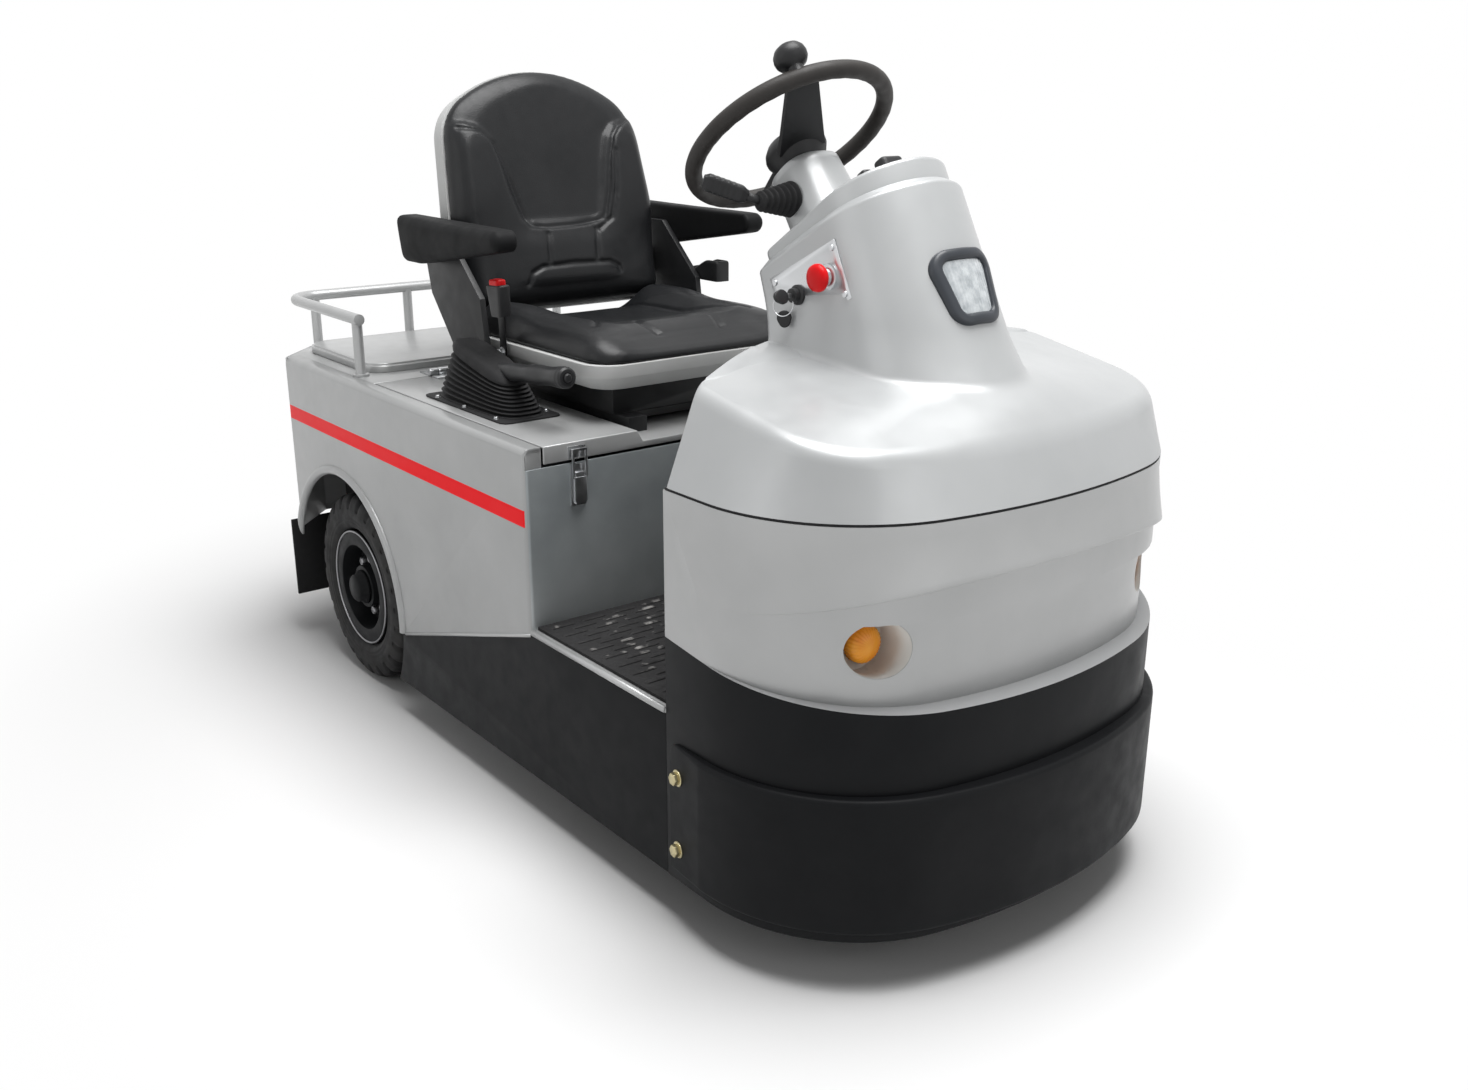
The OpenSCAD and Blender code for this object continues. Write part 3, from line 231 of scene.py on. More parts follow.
def fit(name, points, faces, material, body, slot, replaced=()):
    """A new piece from points and faces: made into an object, given its finish, set riding on its body."""
    mesh = bpy.data.meshes.new(name)
    mesh.from_pydata(points.tolist(), [], faces)
    mesh.validate()
    mesh.materials.append(material)
    piece = bpy.data.objects.new(name, mesh)
    scene.collection.objects.link(piece)
    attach(piece, body)
    if replaced:
        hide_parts(*replaced)
    return piece


def skin(grid, ends=True, ring=False):
    """Points and quads of a grid (rows, columns, 3).

    The last column joins the first; ring joins the last row to the first, and ends closes the first and last row
    with fans round their middles. The faces are turned over if the enclosed volume comes out negative.
    """
    rows, cols = grid.shape[:2]
    ids = np.arange(rows * cols).reshape(rows, cols)
    ids = np.concatenate([ids, ids[:, :1]], axis=1)
    if ring:
        ids = np.concatenate([ids, ids[:1]], axis=0)
    quads = np.stack([ids[:-1, :-1], ids[:-1, 1:], ids[1:, 1:], ids[1:, :-1]], axis=-1).reshape(-1, 4)
    points = grid.reshape(-1, 3)
    corners = points[quads] - points.mean(axis=0)
    volume = np.einsum("ij,ij->i", corners[:, 0], np.cross(corners[:, 1], corners[:, 2])).sum()
    volume += np.einsum("ij,ij->i", corners[:, 0], np.cross(corners[:, 2], corners[:, 3])).sum()
    fans = np.zeros((0, 3), int)
    if ends:
        first, last = ids[0], ids[-1]
        middle = len(points)
        points = np.concatenate([points, grid[:1].mean(axis=1), grid[-1:].mean(axis=1)])
        fans = np.concatenate([
            np.stack([first[1:], first[:-1], np.full(len(first) - 1, middle)], axis=-1),
            np.stack([last[:-1], last[1:], np.full(len(last) - 1, middle + 1)], axis=-1)])
    if volume < 0:
        quads, fans = quads[:, ::-1], fans[:, ::-1]
    return points, quads.tolist() + fans.tolist()


def together(*skins):
    """Several skins as one list of points and one of faces."""
    points, faces, count = [], [], 0
    for some_points, some_faces in skins:
        points.append(some_points)
        faces += [[i + count for i in face] for face in some_faces]
        count += len(some_points)
    return np.concatenate(points), faces


def smoothed(piece):
    """Shades every face of a piece smooth and returns it."""
    piece.data.polygons.foreach_set("use_smooth", np.ones(len(piece.data.polygons), bool))
    return piece


def step(x, low, high):
    """A soft step from 0 at low to 1 at high."""
    t = np.clip((x - low) / (high - low), 0, 1)
    return t * t * (3 - 2 * t)


def seated(origin, normal, ahead=(1, 0, 0)):
    """The place function of a frame whose z stands along normal and whose x points ahead."""
    z = np.array(normal, float) / np.linalg.norm(normal)
    x = np.array(ahead, float) - z * np.dot(ahead, z)
    x /= np.linalg.norm(x)
    axes = np.array([x, np.cross(z, x), z])
    return lambda points: np.asarray(points) @ axes + np.array(origin)


def turns_of(count):
    """Angles evenly spaced round a circle."""
    return np.linspace(0, 2 * pi, count, endpoint=False)


def lathe(profile, count=48):
    """A profile of (radius, height) pairs carried round the local z axis, as a grid."""
    profile = np.asarray(profile, float)
    angle = turns_of(count)
    radius, height = profile[:, :1], np.repeat(profile[:, 1:], count, axis=1)
    return np.stack([radius * np.cos(angle), radius * np.sin(angle), height], axis=-1)


def hex_bolt(place, radius, height):
    """A washer under a hexagon head with a turned-down top, as one skin."""
    washer = lathe([(radius * 1.28, 0), (radius * 1.28, height * 0.18), (radius * 0.9, height * 0.22)], 32)
    head = lathe([(radius, height * 0.2), (radius, height * 0.86), (radius * 0.84, height)], 6)
    return together(skin(place(washer)), skin(place(head)))


tyre_rubber, n, l, shader = shader_tree("tyre_rubber", {"Specular IOR Level": 0.3})
dust = spread(n, l, mottle(n, l, 9), 0, 1, 0.35, 0.75)
paint(n, l, shader, two_tone(n, l, dust, (0.010, 0.010, 0.0105), (0.026, 0.025, 0.024)), 40, 0.62, 0.82)
relief(n, l, mottle(n, l, 320, 4.0), 0.35, 0.0005, shader)


def tyre_surface(centre, outer, half_width, bead, lugs):
    """A tyre: its section carried round the axle along Y, with the tread cut in by depth.

    The section runs from one bead over the tread to the other. Over the tread the radius drops by a groove depth
    where two zigzag rings run round it and where slots part the shoulder blocks, which are half a pitch apart on
    the two sides. Low rings stand out round the side walls.
    """
    groove_depth, ring_height, ring_pitch = 0.0095, 0.0012, 0.009
    knots = np.array([(bead + 0.0005, 0.62), (bead + 0.004, 0.80), (bead + 0.014, 0.94),
                      ((bead + outer) / 2, 1.0), (outer - 0.030, 0.965), (outer - 0.016, 0.90), (outer - 0.006, 0.80),
                      (outer - 0.0015, 0.60), (outer, 0.0)])
    knots = np.concatenate([knots, [[r, -w] for r, w in knots[-2::-1]]])
    along = np.concatenate([[0], np.cumsum(np.hypot(np.diff(knots[:, 0]), np.diff(knots[:, 1]) * half_width))])
    fine = np.linspace(0, along[-1], 96)
    radius, side = np.interp(fine, along, knots[:, 0]), np.interp(fine, along, knots[:, 1])
    kernel = np.array([1, 4, 6, 4, 1]) / 16
    for _ in range(2):
        radius[2:-2] = np.convolve(radius, kernel, "valid")
        side[2:-2] = np.convolve(side, kernel, "valid")
    angle = turns_of(lugs * 14)
    theta, row_r = np.meshgrid(angle, radius)
    row_w = np.repeat(side[:, None], len(angle), axis=1)
    turns = theta * lugs / (2 * pi)
    zigzag = 0.10 * np.abs(2 * np.mod(turns, 1) - 1) - 0.05
    ring_cut = 1 - step(np.abs(np.abs(row_w) - 0.30 - zigzag), 0.035, 0.075)
    lag = np.where(row_w > 0, 0.0, 0.5)
    slot = np.abs(np.mod(turns + lag, 1) - 0.5)
    block_cut = (1 - step(slot, 0.10, 0.17)) * step(np.abs(row_w), 0.30, 0.40)
    tread = step(row_r, outer - 0.034, outer - 0.022)
    depth = groove_depth * np.maximum(ring_cut, block_cut) * tread
    rings = ring_height * (np.cos((row_r - bead) * 2 * pi / ring_pitch) > 0.3)
    rings = rings * step(row_r, bead + 0.012, bead + 0.016) * (1 - step(row_r, outer - 0.052, outer - 0.046))
    r = row_r - depth
    y = row_w * half_width + np.sign(row_w) * rings
    grid = np.stack([centre[0] + r * np.cos(theta), centre[1] + y, centre[2] + r * np.sin(theta)], axis=-1)
    return skin(grid, ends=False, ring=True)


axle_x, axle_y, axle_z = -0.587, 0.349, 0.2075
rear_size, front_size = (0.2075, 0.056, 0.1262, 26), (0.16, 0.050, 0.0922, 22)
for wheel, tyre, centre, size in (
        ("rear_wheel_right", "rear_tyre_right", (axle_x, -axle_y, axle_z), rear_size),
        ("rear_wheel_left", "rear_tyre_left", (axle_x, axle_y, axle_z), rear_size),
        ("front_wheel", "front_tyre", (0.8, 0, 0.16), front_size)):
    smoothed(fit(tyre + "_tread", *tyre_surface(centre, *size), tyre_rubber, wheel, "tyre", [tyre]))

worn_steel = coating("worn_steel", (0.20, 0.20, 0.21), (0.34, 0.34, 0.35), 0.34, 0.5, 260, 0.0002, metallic=0.9)
for side, body in ((-1, "rear_wheel_right"), (1, "rear_wheel_left")):
    hub = seated((axle_x, side * axle_y, axle_z), (0, side, 0))
    edge = lathe([(0.1245 + 0.0022 * cos(a), 0.0492 + 0.0022 * sin(a)) for a in turns_of(10)], 96)
    smoothed(fit(body + "_edge", *skin(hub(edge), ends=False, ring=True), worn_steel, body, "zinc"))
    cap = lathe([(0.038, 0.041), (0.037, 0.047), (0.031, 0.052), (0.030, 0.060), (0.026, 0.064), (0.001, 0.065)], 40)
    smoothed(fit(body + "_cap", *skin(hub(cap)), black, body, "black_paint"))
    nuts = []
    for a in turns_of(8):
        seat_of_nut = hub(np.array([0.060 * cos(a), 0.060 * sin(a), 0.006]))
        nuts.append(hex_bolt(seated(seat_of_nut, (0, side, 0)), 0.0105, 0.020))
    soften(fit(body + "_nuts", *together(*nuts), worn_steel, body, "zinc"), 0.0008)

# Skirts, floor and mud flaps: heavy plate under the body in satin black, with a bright rolled edge on the step.
# The rubber mat is moulded with rows of low dashes across the tug; their tops are pale in patches, partly wear and
# partly painted highlight.
dress(black, "side_skirts", edge=0.003, segments=3)
rubber = coating("rubber", (0.009, 0.009, 0.0095), (0.017, 0.017, 0.018), 0.6, 0.8, 260, 0.0004, shine=0.25)
dress(rubber, "mud_flaps", "pedals", edge=0.002)
silver = coating("silver_paint", (0.40, 0.405, 0.405), (0.445, 0.45, 0.45), 0.33, 0.41, 420, 0.0002, metallic=0.35,
                 coat=0.25)
dress(silver, "floor_plate", edge=0.003, segments=3)


def sweep(path, section, side):
    """A closed section (n, 2) carried along a path (m, 3), its first axis kept towards side, as a grid."""
    path = np.asarray(path, float)
    ahead = np.gradient(path, axis=0)
    ahead /= np.linalg.norm(ahead, axis=1)[:, None]
    across = np.array(side, float) - ahead * (ahead @ np.array(side, float))[:, None]
    across /= np.linalg.norm(across, axis=1)[:, None]
    rise = np.cross(ahead, across)
    section = np.asarray(section, float)
    return path[:, None] + across[:, None] * section[None, :, :1] + rise[:, None] * section[None, :, 1:]


def disc(radius, count=16):
    """Points round a circle, as a section."""
    a = turns_of(count)
    return np.stack([radius * np.cos(a), radius * np.sin(a)], axis=-1)


trims = []
for side in (-1, 1):
    edge_line = [(x, side * 0.4235, 0.3585) for x in (0.206, 0.40, 0.598)]
    slant = [(x, side * 0.4238, z) for x, z in ((-0.310, 0.1925), (-0.05, 0.2738), (0.198, 0.3512))]
    trims.append(skin(sweep(edge_line, disc(0.0055), (0, 0, 1))))
    trims.append(skin(sweep(slant, disc(0.0032), (0, 1, 0))))
smoothed(fit("step_trim", *together(*trims), silver, "chassis", "silver_paint"))


def split(n, l, vector=None):
    """The X, Y and Z outputs of a vector, or of the piece's own coordinates."""
    if vector is None:
        vector = add(n, l, "ShaderNodeTexCoord").outputs["Object"]
    return add(n, l, "ShaderNodeSeparateXYZ", vector).outputs


mat_sheen_and_wear, n, l, shader = shader_tree("mat_sheen_and_wear", {"Specular IOR Level": 0.3})
# The tops of the dashes are painted pale in patches: partly wear and dust, partly painted highlight where the top lamp
# catches them.
dash_tops = spread(n, l, split(n, l)["Z"], 0, 1, 0.3670, 0.3680)
patches = spread(n, l, mottle(n, l, 34, 8.0), 0, 1, 0.58, 0.72)
sheen_and_wear = add(n, l, "ShaderNodeMath", dash_tops, patches, operation="MULTIPLY")
tread_tone = tones(n, l, 12, (0.012, 0.0116, 0.0122), (0.022, 0.0215, 0.022))
paint(n, l, shader, two_tone(n, l, sheen_and_wear.outputs[0], tread_tone, (0.30, 0.29, 0.28)), 60, 0.55, 0.85)
relief(n, l, mottle(n, l, 220, 4.0), 0.5, 0.0012, shader)


def raised(outline, z):
    """An outline (n, 2) set at height z, which is one number or one for each point."""
    return np.column_stack([outline, np.broadcast_to(z, len(outline))])


def mat_surface():
    """The mat: a flat slab with rows of rounded dashes along Y, each row shifted by half a dash from the last."""
    base = np.array([(0.204, -0.412), (0.597, -0.412), (0.597, 0.412), (0.204, 0.412)])
    pieces = [skin(np.stack([raised(base, z) for z in (0.3602, 0.3658)]))]
    long, short, pitch_x, pitch_y = 0.024, 0.0050, 0.0205, 0.0630
    a = turns_of(20)
    dash = np.stack([short * np.cos(a), short * np.sin(a) + np.sign(np.sin(a)) * (long - short)], axis=-1)
    for row, x in enumerate(np.arange(0.226, 0.590, pitch_x)):
        for y in np.arange(-0.376, 0.3761, pitch_y) + (pitch_y / 2 if row % 2 else 0):
            if abs(y) < 0.380:
                rings = [raised(dash * s + [x, y], z)
                         for s, z in ((1.10, 0.3652), (1.0, 0.3672), (0.80, 0.3682))]
                pieces.append(skin(np.stack(rings)))
    return together(*pieces)


soften(fit("mat_tread", *mat_surface(), mat_sheen_and_wear, "chassis", "rubber", ["floor_mat"]), 0)

# Silver body: pressed steel sides, rear wall, deck, tray and rail in metallic stoving paint.
# One red stripe runs along each side, painted between masking edges.
stripe_z, stripe_half, side_y = 0.560, 0.015, 0.4228
striped, n, l, shader = shader_tree("striped_paint_painted_shade", {"Coat Roughness": 0.15})
parts = split(n, l)
near = add(n, l, "ShaderNodeMath", parts["Z"], stripe_z, stripe_half, operation="COMPARE")
outside = add(n, l, "ShaderNodeMath", parts["Y"], operation="ABSOLUTE")
beyond = add(n, l, "ShaderNodeMath", outside.outputs[0], side_y, operation="GREATER_THAN")
stripe = add(n, l, "ShaderNodeMath", near.outputs[0], beyond.outputs[0], operation="MULTIPLY").outputs[0]
# The silver under the stripe is a darker copy of the body silver: painted shade on the upright sides, which face away
# from the top lamp.
painted_shade_silver = tones(n, l, 6, (0.33, 0.335, 0.335), (0.37, 0.375, 0.375))
paint(n, l, shader, two_tone(n, l, stripe, painted_shade_silver, (0.98, 0.012, 0.018)), 30, 0.33, 0.41)
for socket, level in (("Metallic", 0.35), ("Coat Weight", 0.25), ("Specular IOR Level", 0.5)):
    l.new(spread(n, l, stripe, level, 0.04, 0, 1), shader.inputs[socket])
relief(n, l, mottle(n, l, 420, 3.0), 0.25, 0.0002, shader)
dress(striped, "side_panels", edge=0.002, segments=3)
dress(silver, "rear_panel", "rear_deck", "tray_panel", "hand_rail", edge=0.002, segments=3)
# The box front is painted darker towards the top and lighter towards the bottom: painted shade cast by the nose and
# seat above it.
shaded, n, l, shader = shader_tree("box_front_painted_shade", {"Metallic": 0.35, "Specular IOR Level": 0.3})
painted_shade_top = tones(n, l, 9, (0.26, 0.285, 0.295), (0.35, 0.375, 0.385))
painted_light_bottom = tones(n, l, 9, (0.42, 0.445, 0.45), (0.50, 0.525, 0.53))
height = spread(n, l, split(n, l)["Z"], 1, 0, 0.36, 0.56)
paint(n, l, shader, two_tone(n, l, height, painted_shade_top, painted_light_bottom), 30, 0.34, 0.46)
dress(shaded, "seat_box_front", edge=0.002, segments=3)
tabs = []
for side in (-1, 1):
    corners = ((0.4190, 0.645), (0.4190, 0.6806), (0.3885, 0.6806), (0.3885, 0.645))
    tab = np.array([(0.1982, side * y, z) for y, z in corners])
    tabs.append(skin(np.stack([tab - [0.0022, 0, 0], tab])))
soften(fit("corner_tabs", *together(*tabs), silver, "chassis", "silver_paint"), 0.0008)
red = coating("red_plastic", (0.62, 0.006, 0.008), (0.70, 0.009, 0.011), 0.28, 0.38, 300, 0.0001, shine=0.15)
dress(red, "tail_lamps", edge=0.002)

# Nose: black band and bumper of heavy plate, silver shell above, bulkhead behind.
# The bumper is rolled from thick strip with rounded edges, thinned and bolted at each end. The shell stands proud
# above a crease that climbs to the front, and two white cups in it hold the amber lamps.
def plan(half, rear, front, corner, crown, count):
    """Plan outline from the right rear round the front to the left rear: straight side, corner arc, front arc,
    corner arc, side, all tangent, as points and outward normals at even spacing."""
    centre_y = half - corner
    front_x = front - crown
    corner_x = front_x + np.sqrt((crown - corner) ** 2 - centre_y ** 2)
    lean = np.arcsin(centre_y / (crown - corner))
    runs = np.array([corner_x - rear, corner * (pi / 2 - lean), crown * lean])
    s = np.linspace(0, 2 * runs.sum(), count)
    half_s = np.minimum(s, 2 * runs.sum() - s)
    on_side = half_s < runs[0]
    on_corner = ~on_side & (half_s < runs[0] + runs[1])
    turned = np.where(on_side, 0, np.where(on_corner, (half_s - runs[0]) / corner,
                                           pi / 2 - lean + (half_s - runs[0] - runs[1]) / crown))
    nx, ny = np.sin(turned), -np.cos(turned)
    x = np.where(on_side, rear + half_s, np.where(on_corner, corner_x + corner * nx, front_x + crown * nx))
    y = np.where(on_side, -half, np.where(on_corner, -centre_y + corner * ny, crown * ny))
    flip = np.where(s > runs.sum(), -1, 1)
    return np.stack([x, y * flip], axis=-1), np.stack([nx, ny * flip], axis=-1)


def bumper_surface():
    """The bumper's section, a strip with rounded outer edges, carried along its plan. It thins towards both ends,
    and the top is rounded down there by a quarter circle."""
    low, top, radius = 0.097, 0.314, 0.008
    half, end_x, turn_down = 0.438, 0.613, 0.022
    outer, normal = plan(half, end_x, 1.025, 0.300, 0.760, 361)
    inner, _ = plan(0.4242, end_x, 1.0002, 0.280, 0.900, 361)
    reach = np.minimum(0.427 + (outer[:, 0] - end_x) * 0.128, half)
    outer[:, 1] = np.clip(outer[:, 1], -reach, reach)
    edge = np.minimum(radius, np.linalg.norm(outer - inner, axis=1) * 0.6)
    from_end = np.minimum(outer[:, 0] - end_x, turn_down)
    crest = top - turn_down + np.sqrt(turn_down ** 2 - (turn_down - from_end) ** 2)
    rows = [raised(inner, low)]
    for a in np.linspace(0, pi / 2, 7):
        rows.append(raised(outer - normal * (edge * (1 - sin(a)))[:, None], low + edge * (1 - cos(a))))
    for z in np.linspace(0.15, 0.85, 6):
        rows.append(raised(outer, low + (crest - low) * z))
    for a in np.linspace(0, pi / 2, 7):
        rows.append(raised(outer - normal * (edge * (1 - cos(a)))[:, None], crest - edge * (1 - sin(a))))
    rows.append(raised(inner, crest))
    return skin(np.stack(rows).transpose(1, 0, 2))


banded, n, l, shader = shader_tree("banded_paint_painted_reflection", {"Specular IOR Level": 0.1})
# Up-facing faces of the black band are painted pale silver: painted reflection of the sky on the band's top ledge.
facing = split(n, l, add(n, l, "ShaderNodeNewGeometry").outputs["Normal"])
ledge_painted_reflection = spread(n, l, facing["Z"], 0, 1, 0.75, 0.92)
tone = tones(n, l, 6, (0.0075, 0.008, 0.009), (0.012, 0.0125, 0.0135))
paint(n, l, shader, two_tone(n, l, ledge_painted_reflection, tone, (0.42, 0.425, 0.43)), 30, 0.34, 0.46)
dress(black, "nose_bulkhead")
dress(banded, "nose_band", edge=0.003, segments=3)
soften(fit("bumper_strip", *bumper_surface(), black, "chassis", "black_paint", ["front_bumper"]), 0)
yellow_zinc = coating("yellow_zinc", (0.50, 0.44, 0.26), (0.62, 0.55, 0.34), 0.3, 0.42, 300, 0.0002, metallic=0.9)
bolts = []
for side in (-1, 1):
    for z in (0.138, 0.261):
        bolts.append(hex_bolt(seated((0.637, side * 0.4296, z), (-0.128, side, 0)), 0.0105, 0.0115))
soften(fit("bumper_bolts", *together(*bolts), yellow_zinc, "chassis", "zinc"), 0.0007)
dress(silver, "nose_shell", edge=0.0025, segments=3)

shell_half, shell_front, shell_corner, shell_crown = 0.424, 0.982, 0.262, 1.000
apron_top, apron_proud, apron_sunk = 0.7, 0.013, 0.0010
lip_line, lip_normal = plan(shell_half, 0.740, shell_front, shell_corner, shell_crown, 300)
swell = apron_proud * step(lip_line[:, 0], 0.750, 0.930)
crest = 0.566 + 0.056 * np.clip((lip_line[:, 0] - 0.773) / 0.209, 0, 1) ** 1.25
apron = [(t ** 1.4, apron_top + (crest + 0.004 - apron_top) * t) for t in np.linspace(0, 1, 12)]
apron += [(1.0, crest + 0.0015), (0.88, crest), (0.4, crest - 0.0006), (-0.3, crest - 0.0006), (-0.3, apron_top)]
lip_rows = [raised(lip_line + lip_normal * (swell * proud - apron_sunk)[:, None], z) for proud, z in apron]
smoothed(fit("nose_crease", *skin(np.stack(lip_rows).transpose(1, 0, 2)), silver, "chassis", "silver_paint"))

cup_y, cup_z, cup_floor = 0.288, 0.525, 0.8730
cup_white = coating("cup_white", (0.60, 0.58, 0.54), (0.68, 0.66, 0.62), 0.25, 0.35, 200, 0.0002)
dip_line = plan(shell_half, 0.5, 0.970, 0.272, shell_crown, 400)[0]
around = turns_of(64)
cups = []
for side in (-1, 1):
    rings = []
    for radius, deep in ((0.0270, 0.0), (0.0408, 0.0), (0.0412, 0.03), (0.0412, 0.5), (0.0412, 1.0), (0.0418, 1.0),
                         (0.0418, 0.0), (0.0270, -0.01)):
        y = side * cup_y + radius * np.cos(around)
        mouth = np.interp(-np.abs(y), dip_line[:200, 1], dip_line[:200, 0]) - 0.0008
        rings.append(np.stack([cup_floor + (mouth - cup_floor) * deep, y, cup_z + radius * np.sin(around)], axis=-1))
    cups.append(skin(np.stack(rings), ends=False, ring=True))
smoothed(fit("indicator_cups", *together(*cups), cup_white, "chassis", "silver_paint"))

amber, n, l, shader = shader_tree("amber_lens", {"Transmission Weight": 0.15, "Specular IOR Level": 0.3})
paint(n, l, shader, tones(n, l, 30, (0.90, 0.27, 0.01), (0.95, 0.42, 0.03)), 60, 0.10, 0.2)
dome_r, dome_base, flutes = 0.0278, 0.012, 28
domes = []
for side in (-1, 1):
    arc = [(dome_r * cos(a), dome_base + 0.0175 * sin(a)) for a in np.linspace(0.1, pi / 2 - 0.04, 14)]
    dome = lathe([(dome_r, 0.0005), (dome_r, dome_base)] + arc, 4 * flutes)
    angle = np.arctan2(dome[..., 1], dome[..., 0])
    dome[..., :2] *= (1 + 0.026 * np.cos(flutes * angle))[..., None]
    domes.append(skin(seated((0.872, side * cup_y, cup_z), (1, 0, 0), (0, 0, 1))(dome)))
smoothed(fit("indicator_domes", *together(*domes), amber, "chassis", "amber", ["indicator_lamps"]))

# Moulded cover of the nose with the leaning control tower, one painted plastic shell on a rubber seal.
# It drafts in from the seam, turns over a soft shoulder into a crowned roof and fillets up into the tower.
def rounded_section(knots, setbacks, steps):
    """Section lines through rows of knots (k, n, 3), each inner corner replaced by a quadratic arc that starts and
    ends setback metres before and after it."""
    rows = [knots[0]]
    for before, corner, after, setback, count in zip(knots[:-2], knots[1:-1], knots[2:], setbacks, steps):
        to_before, to_after = before - corner, after - corner
        start = corner + to_before * np.minimum(setback / np.linalg.norm(to_before, axis=1), 0.5)[:, None]
        end = corner + to_after * np.minimum(setback / np.linalg.norm(to_after, axis=1), 0.5)[:, None]
        for t in np.linspace(0, 1, count):
            rows.append((1 - t) ** 2 * start + 2 * t * (1 - t) * corner + t ** 2 * end)
    rows.append(knots[-1])
    return np.stack(rows)


def closed_plan(half, rear, front, corner, crown, turn_r, sides, backs):
    """A plan outline closed by a straight back with rounded rear corners: sides points from the right rear round to
    the left rear, then backs points across the back."""
    line, _ = plan(half, rear + turn_r, front, corner, crown, sides)
    a = np.linspace(0, pi / 2, 8)[1:]
    left = np.stack([rear + turn_r - turn_r * np.sin(a), half - turn_r + turn_r * np.cos(a)], axis=-1)
    across = np.linspace(half - turn_r, -half + turn_r, backs)[1:-1]
    middle = np.stack([np.full(len(across), rear), across], axis=-1)
    right_corner = np.stack([left[::-1, 0], -left[::-1, 1]], axis=-1)
    return np.concatenate([line, left, middle, right_corner[:-1]])


def leaning(x, y, z, degrees):
    """Place function of a frame at (x, y, z) tipped back about Y by degrees."""
    a = radians(degrees)
    return seated((x, y, z), (-sin(a), 0, cos(a)), (cos(a), 0, sin(a)))


tower_tilt, tower_half, tower_long = 27, 0.125, 0.303
ledge_slope, roof_slope = 0.056, 0.063
cover_rear, seam_z = 0.601, 0.7102
tilt = radians(tower_tilt)
on_tower = leaning(0.429, 0, 1.000, tower_tilt)


def cover_surface():
    """The cover as section lines from the seam over the shoulder and the roof and up the tower, one for each place
    round its plan. The roof is crowned by a middle ring, the tower flares into it, and a sloped ledge ends the
    tower below its cap."""
    sides, backs = 301, 40

    def on_roof(u):
        return (-0.12778 - u * (sin(tilt) + roof_slope * cos(tilt))) / (cos(tilt) - roof_slope * sin(tilt))

    rings = []
    for half, rear, front, corner, rise in ((shell_half, cover_rear, shell_front, shell_corner, 0.0),
                                            (0.370, 0.603, 0.942, 0.130, 1.0)):
        ring = closed_plan(half, rear, front, corner, shell_crown, 0.014, sides, backs)
        z = seam_z + rise * (0.1418 - (ring[:, 0] - cover_rear) * np.tan(radians(10.5)))
        rings.append(raised(ring, z))
    climb = []
    for grow, drop in ((0.013, on_roof), (0.004, lambda u: on_roof(u) + 0.055),
                       (0.0, lambda u: -0.030 + ledge_slope * u), (-0.013, lambda u: -0.0185 + ledge_slope * u)):
        ring = closed_plan(tower_half + grow, -grow, tower_long + grow, 0.1245 + grow, tower_half + grow, 0.012, sides,
                           backs)
        climb.append(on_tower(raised(ring, drop(ring[:, 0]))))
    crown = (rings[1] + climb[0]) / 2 + [0, 0, 0.009]
    return rounded_section(np.stack([*rings, crown, *climb]), (0.020, 0.085, 0.013, 0.030, 0.004), (12, 12, 9, 8, 5))


pale_silver = coating("pale_silver", (0.41, 0.42, 0.424), (0.45, 0.46, 0.464), 0.34, 0.42, 420, 0.0002, metallic=0.25,
                      coat=0.3)
cover = fit("moulded_cover", *skin(cover_surface(), ends=False), pale_silver, "chassis", "silver_paint",
            ["nose_cover"])
wall = cover.modifiers.new("wall", "SOLIDIFY")
wall.thickness = 0.004
wall.offset = -1
soften(cover, 0)

seal_line, seal_normal = plan(shell_half, 0.604, shell_front, shell_corner, shell_crown, 240)
seal_rows = [raised(seal_line - seal_normal * inset, z)
             for inset, z in ((0.006, 0.7062), (0.0012, 0.7062), (0.0006, 0.7080), (0.0012, 0.7098), (0.006, 0.7098))]
soften(fit("cover_seal", *skin(np.stack(seal_rows).transpose(1, 0, 2)), rubber, "chassis", "rubber"), 0)

# Dash: separate rounded cap with a gauge pod and two rockers, and a stainless plate with stop button and key.
# The plate is screwed flat on the tower's right side; a second key hangs from the ring.
def slab(outline, low, high, edge):
    """A closed plate over an outline: upright wall, upper edge rounded by a quarter circle, as a grid."""
    ahead = np.roll(outline, -1, axis=0) - np.roll(outline, 1, axis=0)
    normal = np.stack([ahead[:, 1], -ahead[:, 0]], axis=-1) / np.linalg.norm(ahead, axis=1)[:, None]
    rows = [raised(outline, low)]
    for a in np.linspace(0, pi / 2, 6):
        rows.append(raised(outline - normal * edge * (1 - cos(a)), high - edge * (1 - sin(a))))
    return np.stack(rows)


def hull_outline(circles, count):
    """Evenly spaced points round the hull of circles (a, b, radius): in each direction the farthest circle's point."""
    circles = np.array(circles, float)
    angle = turns_of(720)
    normal = np.stack([np.cos(angle), np.sin(angle)], axis=-1)
    farthest = circles[(normal @ circles[:, :2].T + circles[:, 2]).argmax(axis=1)]
    loop = farthest[:, :2] + normal * farthest[:, 2:]
    loop = np.concatenate([loop, loop[:1]])
    along = np.concatenate([[0], np.cumsum(np.linalg.norm(np.diff(loop, axis=0), axis=1))])
    even = np.linspace(0, along[-1], count, endpoint=False)
    return np.stack([np.interp(even, along, loop[:, 0]), np.interp(even, along, loop[:, 1])], axis=-1)


def bar(length, width, radius, count=40):
    """Outline of a rounded rectangle about the origin."""
    a, b = length / 2 - radius, width / 2 - radius
    return hull_outline([(s * a, t * b, radius) for s in (-1, 1) for t in (-1, 1)], count)


def placed(place, *grids):
    """Several grids set in place and skinned as one."""
    return together(*(skin(place(grid)) for grid in grids))


zinc = coating("zinc", (0.50, 0.51, 0.52), (0.62, 0.63, 0.64), 0.25, 0.38, 300, 0.0002, metallic=1.0)
plastic = coating("black_plastic", (0.009, 0.0092, 0.010), (0.015, 0.0155, 0.0165), 0.38, 0.5, 500, 0.0003, shine=0.35)
dress(zinc, "control_plate", edge=0.0006)


